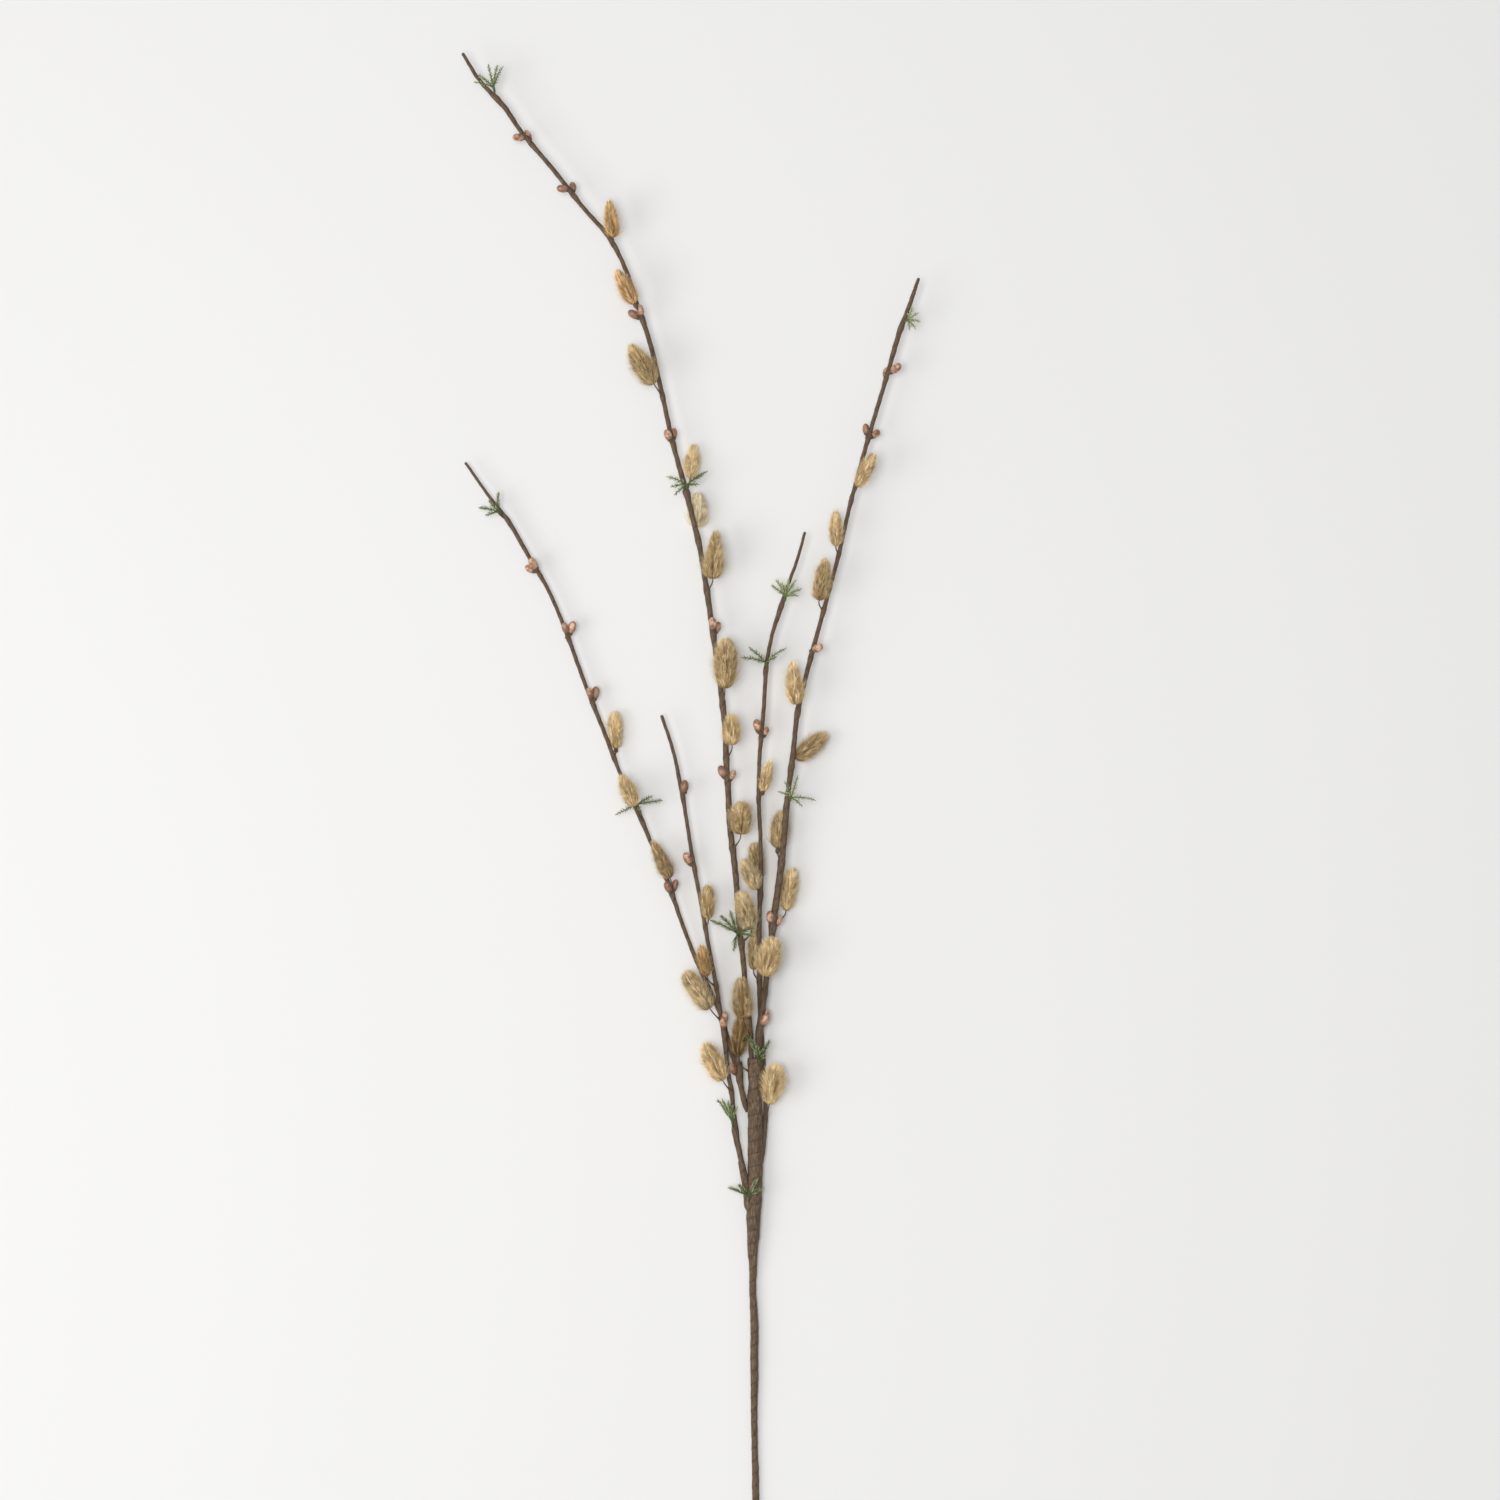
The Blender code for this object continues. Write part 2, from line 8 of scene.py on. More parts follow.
import bpy
import numpy as np
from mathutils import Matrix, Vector


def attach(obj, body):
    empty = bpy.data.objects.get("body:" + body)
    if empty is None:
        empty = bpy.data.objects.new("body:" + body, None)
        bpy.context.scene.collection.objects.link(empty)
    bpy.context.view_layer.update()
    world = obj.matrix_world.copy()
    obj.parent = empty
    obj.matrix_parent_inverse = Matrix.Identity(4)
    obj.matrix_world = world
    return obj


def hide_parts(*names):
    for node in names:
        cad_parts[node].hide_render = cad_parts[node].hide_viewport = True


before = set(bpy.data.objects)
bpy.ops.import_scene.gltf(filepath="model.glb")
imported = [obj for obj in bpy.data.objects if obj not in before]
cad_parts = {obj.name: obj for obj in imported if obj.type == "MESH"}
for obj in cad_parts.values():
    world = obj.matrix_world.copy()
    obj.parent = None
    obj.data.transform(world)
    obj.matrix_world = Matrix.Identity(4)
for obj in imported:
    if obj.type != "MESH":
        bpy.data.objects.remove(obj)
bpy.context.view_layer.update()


# Main stem
# A bundle of wires, wound at a slant with brown paper tape whose turns lap each other. It is thick
# where the shoots' wires run inside it, and cut flat at the foot. The tape holds every joint.
MM = 0.001
UP = np.array((0.0, 0.0, 1.0))
MAIN_STEM = (
    (46, -550, 2.0, 2.45), (46, -462, 2.0, 2.45), (45, -413, 2.6, 2.2), (45, -374, 3.2, 2.75),
    (45, -340, 3.5, 2.8), (44, -318, 3.8, 2.4), (44, -300, 4.4, 2.75), (44, -284, 5.2, 3.9),
    (44.5, -267, 5.9, 4.9), (45, -249, 6.3, 5.3), (45.7, -231, 6.5, 5.3), (45.7, -210, 6.6, 5.3),
    (45.6, -192, 6.7, 5.2), (45.7, -170, 6.9, 5.2), (45.9, -153, 7, 5.4),
)
MAIN_RINGS_APART = 1.0
MAIN_SIDES = 28
CURVE_STEPS = 24
# The rings of a rounded end: how far each is from the tip, in radii.
ROUND_END = (1, 0.6, 0.3, 0.1, 0.01)
# How far one turn of tape goes along the stem, how far its edge stands up, and how lumpy it is wound.
TAPE_TURN = 9.0
LAP_RISE = 0.17
HAND_WOUND = 0.05
# The lumps are a sum of waves, each this long, with up to this many ridges round the stem.
WAVES = 9
WAVE_LENGTHS = (4, 45)
MOST_RIDGES = 3
# A wire with a smaller radius than this shows no laps.
LEAST_WOUND = 0.6
# The tape's colours. Its streaks run from dark in the grooves to pale on the ridges: the tape's own uneven
# tone with painted shade and a painted highlight.
TAPE_DARK = (0.060, 0.037, 0.021)
TAPE_BROWN = (0.150, 0.098, 0.058)
TAPE_RIDGE_HIGHLIGHT = (0.320, 0.224, 0.140)
TAPE_WARM = (0.170, 0.098, 0.060)
TAPE_CREPE_DARK = (0.075, 0.053, 0.040)
TAPE_SHADOW = (0.035, 0.024, 0.018)


def smooth_line(rows, rings_apart, round_end=False):
    """Rows of x, y, z and radius at even steps along a smooth curve through the rows."""
    rows = np.array(rows, float)
    held = np.vstack([2 * rows[0] - rows[1], rows, 2 * rows[-1] - rows[-2]])
    share = np.linspace(0, 1, CURVE_STEPS, endpoint=False)[:, None]
    fine = []
    for before, here, after, beyond in zip(held, held[1:], held[2:], held[3:]):
        fine.append(0.5 * (
            2 * here + (after - before) * share
            + (2 * before - 5 * here + 4 * after - beyond) * share ** 2
            + (3 * here - before - 3 * after + beyond) * share ** 3
        ))
    fine = np.vstack(fine + [rows[-1:]])
    along = np.append(0, np.cumsum(np.linalg.norm(np.diff(fine[:, :3], axis=0), axis=1)))
    places = np.linspace(0, along[-1], max(2, round(along[-1] / rings_apart)) + 1)
    end_radius = rows[-1, 3]
    if round_end:
        last_rings = along[-1] - end_radius * np.array(ROUND_END)
        places = np.sort(np.append(places[:-2], last_rings))
    line = np.stack([np.interp(places, along, fine[:, column]) for column in range(4)], axis=1)
    if round_end:
        near = np.clip((along[-1] - places) / end_radius, 0, 1)
        line[:, 3] *= np.sqrt(1 - (1 - near) ** 2)
    return line


def tube(line, sides, tape_turn=0.0, seed=0):
    """The skin of a line of x, y, z and radius, closed at both ends. With a tape turn it has the laps
    and lumps of tape wound by hand. Its wrap value is where a point is round and along the line."""
    centre, radius = line[:, :3], line[:, 3]
    ahead = np.gradient(centre, axis=0)
    ahead /= np.linalg.norm(ahead, axis=1)[:, None]
    along = np.append(0, np.cumsum(np.linalg.norm(np.diff(centre, axis=0), axis=1)))
    across = np.cross(ahead[0], UP if abs(ahead[0] @ UP) < 0.9 else (1, 0, 0))
    carried = []
    for direction in ahead:
        across = across - direction * (across @ direction)
        across /= np.linalg.norm(across)
        carried.append(across)
    across = np.array(carried)[:, None]
    raised = np.cross(ahead[:, None], across)
    turn = np.linspace(0, 2 * math.pi, sides, endpoint=False)
    reach = np.repeat(radius[:, None], sides, axis=1)
    if tape_turn:
        draw = np.random.default_rng(seed)
        lumps = 0
        for _ in range(WAVES):
            length = draw.uniform(*WAVE_LENGTHS)
            wave = along[:, None] * 2 * math.pi / length + draw.integers(0, MOST_RIDGES + 1) * turn
            lumps = lumps + np.sin(wave + draw.uniform(0, 2 * math.pi)) / WAVES ** 0.5
        lap = (along[:, None] / tape_turn - turn / (2 * math.pi)) % 1
        reach = reach * (1 + HAND_WOUND * lumps) + LAP_RISE * (0.5 - lap) * (reach > LEAST_WOUND)
    cos, sin = np.cos(turn)[:, None], np.sin(turn)[:, None]
    points = centre[:, None] + (across * cos + raised * sin) * reach[..., None]
    wrap = np.empty_like(points)
    wrap[..., 0], wrap[..., 1], wrap[..., 2] = np.cos(turn), np.sin(turn), along[:, None]
    ring = np.arange(sides)
    after = np.roll(ring, -1)
    starts = np.arange(len(line) - 1)[:, None] * sides
    quads = np.stack([starts + ring, starts + after, starts + sides + after, starts + sides + ring], axis=2)
    foot, head = len(line) * sides, len(line) * sides + 1
    last = (len(line) - 1) * sides
    caps = [(foot, b, a) for a, b in zip(ring.tolist(), after.tolist())]
    caps += [(head, last + a, last + b) for a, b in zip(ring.tolist(), after.tolist())]
    return {
        "points": np.vstack([points.reshape(-1, 3), centre[:1], centre[-1:]]),
        "faces": quads.reshape(-1, 4).tolist() + caps,
        "wrap": np.vstack([wrap.reshape(-1, 3), [(0, 0, 0)], [(0, 0, along[-1])]]),
    }


def joined(forms):
    """One form from several: points, faces, and a value of each kind for each point."""
    starts = np.cumsum([0] + [len(form["points"]) for form in forms])
    whole = {kind: np.concatenate([form[kind] for form in forms]) for kind in forms[0] if kind != "faces"}
    whole["faces"] = [
        [corner + start for corner in face]
        for form, start in zip(forms, starts.tolist()) for face in form["faces"]
    ]
    return whole


def piece(name, form, finish, slot, *stands_for):
    """One piece of the spray, which rides with it and stands for the plain solids that are named last."""
    mesh = bpy.data.meshes.new(name)
    mesh.from_pydata(form.pop("points") * MM, [], form.pop("faces"))
    for kind, numbers in form.items():
        wide = numbers.ndim == 2
        value = mesh.attributes.new(kind, "FLOAT_VECTOR" if wide else "FLOAT", "POINT")
        value.data.foreach_set("vector" if wide else "value", numbers.astype(np.float32).ravel())
    mesh.materials.append(finish)
    mesh.shade_smooth()
    made = bpy.data.objects.new(name, mesh)
    bpy.context.scene.collection.objects.link(made)
    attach(made, "root")
    if stands_for:
        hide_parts(*stands_for)


class Wire:
    """A shader socket on which sums can be written: each adds its Math or Vector Math node."""

    def __init__(self, tree, socket=None):
        self.tree = tree
        self.socket = socket

    def node(self, kind, settings, sockets, output=0):
        """Adds a node, sets it up, then gives its sockets their values or links."""
        made = self.tree.nodes.new(kind)
        for setting, value in settings.items():
            if setting == "stops":
                while len(made.color_ramp.elements) < len(value):
                    made.color_ramp.elements.new(1)
                for stop, (place, colour) in zip(made.color_ramp.elements, value):
                    stop.position, stop.color = place, (*colour, 1)
            else:
                setattr(made, setting, value)
        for key, value in sockets.items():
            if isinstance(value, Wire):
                self.tree.links.new(value.socket, made.inputs[key])
            else:
                made.inputs[key].default_value = value
        return Wire(self.tree, made.outputs[output] if made.outputs else None)

    def out(self, name):
        return Wire(self.tree, self.socket.node.outputs[name])

    def sum(self, operation, *values):
        wide = any(isinstance(v, Wire) and v.socket.type in ("VECTOR", "RGBA") for v in values)
        if wide:
            values = [(v,) * 3 if isinstance(v, (int, float)) else v for v in values]
        kind = "ShaderNodeVectorMath" if wide else "ShaderNodeMath"
        return self.node(kind, {"operation": operation}, dict(enumerate(values)))

    def __add__(self, other):
        return self.sum("ADD", self, other)

    __radd__ = __add__

    def __sub__(self, other):
        return self.sum("SUBTRACT", self, other)

    def __rsub__(self, other):
        return self.sum("SUBTRACT", other, self)

    def __mul__(self, other):
        return self.sum("MULTIPLY", self, other)

    __rmul__ = __mul__

    def above(self, least):
        return self.sum("MAXIMUM", self, least)

    def below(self, most):
        return self.sum("MINIMUM", self, most)

    def value_of(self, kind):
        """A value that the mesh holds for each point."""
        return self.node("ShaderNodeAttribute", {"attribute_name": kind}, {}, "Fac")

    def noise(self, scale, detail=3.0, roughness=0.55):
        """Noise over this vector."""
        sockets = {"Vector": self, "Scale": scale, "Detail": detail, "Roughness": roughness}
        return self.node("ShaderNodeTexNoise", {}, sockets)

    def ramp(self, *stops):
        return self.node("ShaderNodeValToRGB", {"stops": stops}, {0: self})

    def blend(self, first, second):
        """The first colour where this is 0 and the second where it is 1."""
        first, second = [(*c, 1) if isinstance(c, tuple) else c for c in (first, second)]
        return self.node("ShaderNodeMix", {"data_type": "RGBA"}, {0: self, 6: first, 7: second}, 2)

    def bump(self, depth):
        """A surface that rises by this much, in millimetres, where this is 1."""
        return self.node("ShaderNodeBump", {}, {"Height": self, "Distance": depth * MM})


def new_finish(name):
    """An empty material and a wire to start its nodes from."""
    finish = bpy.data.materials.new(name)
    finish.use_nodes = True
    finish.node_tree.nodes.clear()
    return finish, Wire(finish.node_tree)


def tape_finish():
    """Brown crepe paper tape: a painted shadow line at each lap, fine wrinkles that darken it along their
    pattern, and streaks of uneven tone, painted darker in the grooves as shade and paler on the raised
    ridges as a highlight.
    """
    finish, start = new_finish("stem_tape")
    wrap = start.node("ShaderNodeAttribute", {"attribute_name": "wrap"}, {}, "Vector")
    parts = start.node("ShaderNodeSeparateXYZ", {}, {0: wrap})
    around = parts.sum("ARCTAN2", parts.out("Y"), parts.out("X"))
    lap = start.sum("FRACT", parts.out("Z") * (1 / TAPE_TURN) - around * (0.5 / math.pi))
    # A painted shadow line along the step at the edge of each lap.
    shadow = (1 - lap * 7).above(0)
    streaks = (wrap * (5, 5, 0.22)).noise(1, 4, 0.6)
    crepe = (wrap * (4, 4, 2.6)).noise(1, 3, 0.6)
    patches = (wrap * (0.7, 0.7, 0.05)).noise(1, 2)
    # Streaks of uneven tone, darker in the low grooves as painted shade and paler on the raised ridges as a
    # painted highlight.
    paper = streaks.ramp((0.32, TAPE_DARK), (0.5, TAPE_BROWN), (0.68, TAPE_RIDGE_HIGHLIGHT))
    warm = (patches * 2.4 - 0.9).above(0).below(1)
    paper = (warm * 0.4).blend(paper, TAPE_WARM)
    # Darker where the crepe pattern is strong.
    paper = (crepe * 0.5).blend(paper, TAPE_CREPE_DARK)
    paper = (shadow * 0.5).blend(paper, TAPE_SHADOW)
    height = streaks * 0.6 + crepe * 0.5 - shadow * 0.5
    sockets = {
        "Base Color": paper, "Roughness": 0.42 + crepe * 0.3, "Normal": height.bump(0.55),
        "Specular IOR Level": 0.28,
    }
    shader = start.node("ShaderNodeBsdfPrincipled", {}, sockets)
    start.node("ShaderNodeOutputMaterial", {}, {"Surface": shader})
    return finish


tape = tape_finish()
main_line = smooth_line(MAIN_STEM, MAIN_RINGS_APART)
main_forms = [tube(main_line, MAIN_SIDES, TAPE_TURN, 1)]


# Shoots
# Five slim wires wound with the same tape. Two go in at the main stem's head, and three at its sides
# under a tapered sleeve. The tape makes a knot where it takes in a bud pair or the stalk of a catkin.
SHOOTS = {
    "tall": (
        (43, -154.4, 7, 1.7), (41.5, -126, 8.5, 1.75), (39, -105, 9.5, 1.75), (37, -82, 11, 1.9),
        (34, -55, 12.2, 2.0), (32, -24, 13.4, 2.1), (28.5, 4, 14, 2.1), (27, 28, 14.4, 2.1),
        (25.5, 56, 14.4, 2.0), (24, 84, 14.4, 2.0), (20, 118, 14.4, 2.0), (14.5, 156, 14.6, 2.0),
        (7.5, 201, 16, 1.9), (-2, 241, 16, 1.9), (-12, 278, 15.6, 1.7), (-19.5, 312, 15.6, 1.6),
        (-28, 348, 15.8, 1.7), (-37, 375, 16, 1.5), (-44.5, 398, 16.5, 1.5), (-57, 422, 17, 1.6),
        (-74.5, 442, 17.5, 1.5), (-95, 468, 18, 1.6), (-117, 494, 18.5, 1.5), (-129.5, 512, 19, 1.8),
        (-147, 531, 19.5, 1.4), (-159, 550, 20, 1.1),
    ),
    "right": (
        (47.3, -154.4, 7, 2.1), (48.3, -136.5, 9, 2.4), (50.5, -120, 10.8, 2.3), (53, -101.5, 11.8, 2.0),
        (56, -77, 12.5, 2.2), (59, -52.5, 13.6, 2.4), (63, -24.5, 15.5, 2.4), (66, 3.5, 16.8, 2.2),
        (68, 28, 17, 2.0), (72, 59.5, 16.8, 1.9), (75, 87.5, 16.6, 1.8), (80, 110, 16.5, 1.7),
        (86.5, 135, 16.5, 1.6), (95, 166, 16.5, 1.5), (104, 199.5, 16.8, 1.4), (112, 234.5, 17, 1.4),
        (120.5, 266, 17.2, 1.5), (127.5, 290.5, 17.4, 1.5), (136.5, 320.5, 17.6, 1.5),
        (146, 353.5, 18, 1.8), (152.5, 371, 18.5, 1.6), (160, 393, 19, 1.1),
    ),
    "left": (
        (38.1, -184, 6.4, 1.7), (36.5, -177, 6.1, 1.8), (32.5, -160, 5.6, 1.9), (27.5, -144, 5.4, 1.7),
        (21.5, -122.5, 5.4, 1.75), (14.5, -107, 6, 1.75), (3, -81, 7.6, 1.5), (-7, -54.5, 8.8, 1.4),
        (-15, -31, 9.4, 1.7), (-25, -7.5, 9.6, 1.4), (-37, 21, 9.7, 1.6), (-48.5, 45.5, 9.7, 1.3),
        (-60.5, 76.5, 9.7, 1.5), (-74, 110.5, 9.7, 1.4), (-86, 143.5, 9.7, 1.4), (-98.5, 173.5, 9.7, 1.3),
        (-111.5, 196, 9.7, 1.4), (-126.5, 222, 9.8, 1.5), (-141, 241, 10, 1.1), (-157.5, 264.5, 10, 0.95),
    ),
    "middle": (
        (52.2, -203, 4.6, 1.5), (53, -190, 3.6, 1.5), (52.4, -175, 3, 1.5), (51, -150.5, 2.6, 1.6),
        (49.5, -127.5, 3.2, 1.7), (48.7, -105, 8.2, 1.7), (48.5, -80.5, 13.8, 1.7), (48.5, -54.5, 14.6, 1.7),
        (49.7, -24.5, 15, 1.6), (49.2, 3.5, 15.2, 1.4), (48, 31.5, 15, 1.4), (48.8, 59.5, 15.2, 1.4),
        (50.3, 77, 15.5, 1.5), (52, 98, 15.8, 1.4), (53.5, 122.5, 16, 1.5), (57.5, 143.5, 16.3, 1.3),
        (62.5, 159.5, 16.6, 1.7), (68, 176.5, 17, 1.2), (75, 196, 17.4, 1.1), (80.5, 215.5, 18, 1.0),
    ),
    "short": (
        (38, -236, 7.6, 1.8), (35, -221, 8.2, 1.9), (32, -206, 9, 2.2), (29.5, -180.5, 9.6, 1.6),
        (26.5, -161, 10, 1.6), (24, -137, 10.4, 1.7), (21, -119, 10.8, 1.6), (17, -95, 11, 1.4),
        (12, -68.5, 11, 1.4), (7, -40.5, 11, 1.4), (2, -14, 11, 1.4), (-3, 17.5, 11.2, 1.3),
        (-6, 35, 11.4, 1.5), (-12, 63, 11.7, 1.2), (-20, 87.5, 12, 1.2),
    ),
}
# Each place with buds: its y, and for each bud the turn round the shoot from the right, the lean away
# from it in degrees, how far above that place its foot sits, and its size.
BUD_ROWS = {
    "tall": (
        (488, ((170, 50, 3.6, 1.05), (-50, 20, 1.1, 0.95))),
        (452, ((150, 50, 3.3, 1.05), (-44, 40, 0.6, 1))),
        (365.5, ((165, 40, 0.7, 1.05), (80, 12, 1.4, 1))),
        (279.5, ((130, 15, 0.7, 1), (-50, 18, 1.4, 0.95))),
        (145.5, ((75, 10, 1.9, 1.12), (-15, 25, -0.3, 0.95))),
        (42, ((170, 18, 2.4, 1.05), (10, 25, 0.3, 0.95))),
    ),
    "right": (
        (323.5, ((20, 38, 4.3, 1.1), (-110, 15, 0, 0.9))),
        (282, ((170, 20, 1.4, 0.95), (-38, 44, 0.5, 1.05))),
        (129.5, ((50, 60, 3.6, 1.1),)),
        (-59, ((150, 12, 1.2, 1.05), (-20, 25, -0.2, 0.9))),
        (-131, ((40, 20, 2.2, 1.1), (-20, 12, 5.3, 0.95))),
    ),
    "left": (
        (187.5, ((170, 28, 1.8, 0.9), (85, 10, 2.3, 1.12))),
        (143, ((78, 10, 1.9, 1), (10, 40, 0.9, 1.12))),
        (96.5, ((73, 8, 3, 0.95), (-10, 32, 1.6, 1.1))),
        (-37, ((110, 12, 1.1, 1), (5, 32, 1.6, 0.95))),
        (-166.5, ((150, 15, 3.5, 1),)),
    ),
    "middle": ((73, ((165, 18, 3, 1.1), (-25, 15, 0.4, 0.85))),),
    "short": (
        (31.5, ((40, 18, 1.9, 1.12),)),
        (-18, ((165, 18, 1.9, 1.1),)),
        (-133, ((70, 10, 1.9, 1), (0, 5, 5.9, 0.9))),
    ),
}
# Catkins from the foot up: base point, tip point, width, kind of fur, its shape, which is where it is widest
# and how blunt its foot and its tip are, and the partings, darkened with painted shade, each with its turn
# from the top in degrees, where it starts and ends, and its depth.
CATKINS = {
    "main": (
        ((33.5, -151.5, 13), (37, -121, 13.5), 14, "brown", (0.5, 1.7, 2.6),
         ((-25, 0, 0.7, 0.7), (12, 0, 0.85, 0.9), (40, 0, 0.6, 0.7))),
    ),
    "tall": (
        ((37.5, -124.5, 21.5), (35.5, -94.5, 21), 16.4, "tan", (0.36, 2.6, 2.3), ((2, 0.05, 0.8, 0.8),)),
        ((42.5, -61.5, 18.6), (35, -34.5, 26.8), 15.4, "olive", (0.45, 2.6, 3.2),
         ((-14, 0.55, 0.95, 0.8), (14, 0.6, 0.95, 0.7))),
        ((35.5, 4, 21), (36.5, 28.5, 22), 17, "beige", (0.45, 2.6, 2.8), ((6, 0.1, 0.7, 0.6),)),
        ((29.5, 66.5, 22.5), (29, 90, 24), 14.6, "pale", (0.42, 2.0, 1.9), ()),
        ((24.5, 106, 26), (25.5, 142.5, 24.5), 18.6, "beige", (0.45, 2.2, 2.5), ((10, 0.3, 0.6, 0.4),)),
        ((16, 182.5, 21.5), (18.5, 217.5, 20.5), 17, "beige", (0.32, 2.0, 1.2), ((-5, 0.1, 1.0, 0.5),)),
        ((5, 219, 7.4), (6, 245, 7), 15.5, "cream", (0.35, 2.0, 1.8), ()),
        ((0, 253.5, 6.4), (3, 278.5, 6), 12.8, "light", (0.5, 1.6, 1.15), ()),
        ((-25, 318.5, 22.8), (-42.5, 346.8, 26), 17.6, "beige", (0.47, 2.0, 1.35),
         ((-8, 0.3, 0.8, 0.6), (12, 0.2, 0.7, 0.6))),
        ((-38.5, 374.5, 23), (-52, 399, 25), 13.2, "golden", (0.36, 2.0, 1.7), ((0, 0.1, 0.7, 0.4),)),
        ((-53.5, 421, 21), (-56.5, 448, 23), 12.4, "golden", (0.34, 2.2, 1.8),
         ((8, 0.1, 0.8, 0.8), (-20, 0.2, 0.95, 0.6))),
    ),
    "right": (
        ((53, -95, 25), (58.5, -66, 26.5), 18.4, "pale", (0.5, 2.2, 2.3),
         ((-20, 0.3, 0.7, 0.4), (10, 0.2, 0.7, 0.4))),
        ((67.2, -49.5, 7), (72, -18.5, 6.4), 13.2, "pale", (0.5, 2.2, 2.4), ()),
        ((61.4, -5.8, 7), (64.5, 22, 6.6), 14.6, "beige", (0.42, 2.2, 2.4), ()),
        ((74, 57, 12.2), (97, 75, 5), 14.2, "tan", (0.42, 2.2, 2.5), ((0, 0.1, 0.6, 0.4),)),
        ((74.5, 94.8, 20.6), (71.5, 126, 22), 14.8, "light", (0.35, 2.2, 1.9),
         ((-28, 0, 0.35, 0.6),)),
        ((90.3, 167.5, 21), (95, 198, 24), 14.2, "beige", (0.38, 2.2, 1.8),
         ((-8, 0.02, 0.4, 1.0), (12, 0.02, 0.35, 0.9))),
        ((102, 205.5, 20.3), (102, 231.5, 22), 11.6, "pale", (0.38, 2.2, 1.8), ()),
        ((117, 246.5, 25.5), (129, 271, 27), 11.8, "pale", (0.42, 2.2, 2.3), ()),
    ),
    "left": (
        ((-14, -26.5, 18), (-26.5, 0.5, 19), 12.6, "tan", (0.32, 2.4, 1.6), ()),
        ((-38.5, 23.5, 20.5), (-48.5, 47, 21.5), 13.8, "pale", (0.45, 2.0, 1.7), ()),
        ((-52, 64, 5.6), (-53, 91, 5), 11.4, "light", (0.5, 3.0, 3.6), ((2, 0.2, 0.72, 1.0),)),
    ),
    "middle": (
        ((55.5, -184.8, 14.5), (61, -155, 16), 17.4, "light", (0.55, 1.6, 2.3),
         ((15, 0.25, 0.85, 0.9), (-30, 0.1, 0.5, 0.4))),
        ((44.5, -91, 5.8), (46, -61, 5.4), 11.6, "beige", (0.45, 2.0, 2.0), ()),
        ((47.5, -28, 6.2), (45, -0.5, 5.8), 12.6, "tan", (0.45, 2.0, 2.8), ()),
        ((47, -34.5, 19.5), (36.5, -11.5, 21.5), 12.8, "olive", (0.42, 2.0, 2.3), ()),
        ((51, 34, 18), (56.5, 57, 20), 10.4, "light", (0.42, 1.9, 1.7), ((0, 0.1, 0.6, 0.3),)),
    ),
    "short": (
        ((23, -168, 16), (9.5, -140.5, 17), 16.2, "light", (0.4, 2.2, 2.4),
         ((-10, 0.3, 0.9, 0.4), (20, 0.3, 0.8, 0.4))),
        ((14, -117.8, 17), (-4.5, -90.5, 18), 16.2, "olive", (0.45, 2.4, 2.8),
         ((-8, 0.6, 0.95, 0.8), (15, 0.55, 0.9, 0.7))),
        ((12, -95, 16.5), (7.5, -72.5, 18), 10.8, "ochre", (0.42, 2.2, 2.6), ((0, 0.2, 0.8, 0.4),)),
        ((12.8, -55.5, 15), (12.5, -30, 16.5), 11.2, "beige", (0.48, 1.9, 3.2),
         ((-16, 0.1, 0.9, 0.9), (14, 0.2, 0.95, 0.8))),
    ),
}
# The catkins whose stalk ends in a dark scale: the stem and the catkin's number on it.
SCALED = (("main", 1), ("tall", 10), ("right", 3), ("middle", 5), ("left", 3))
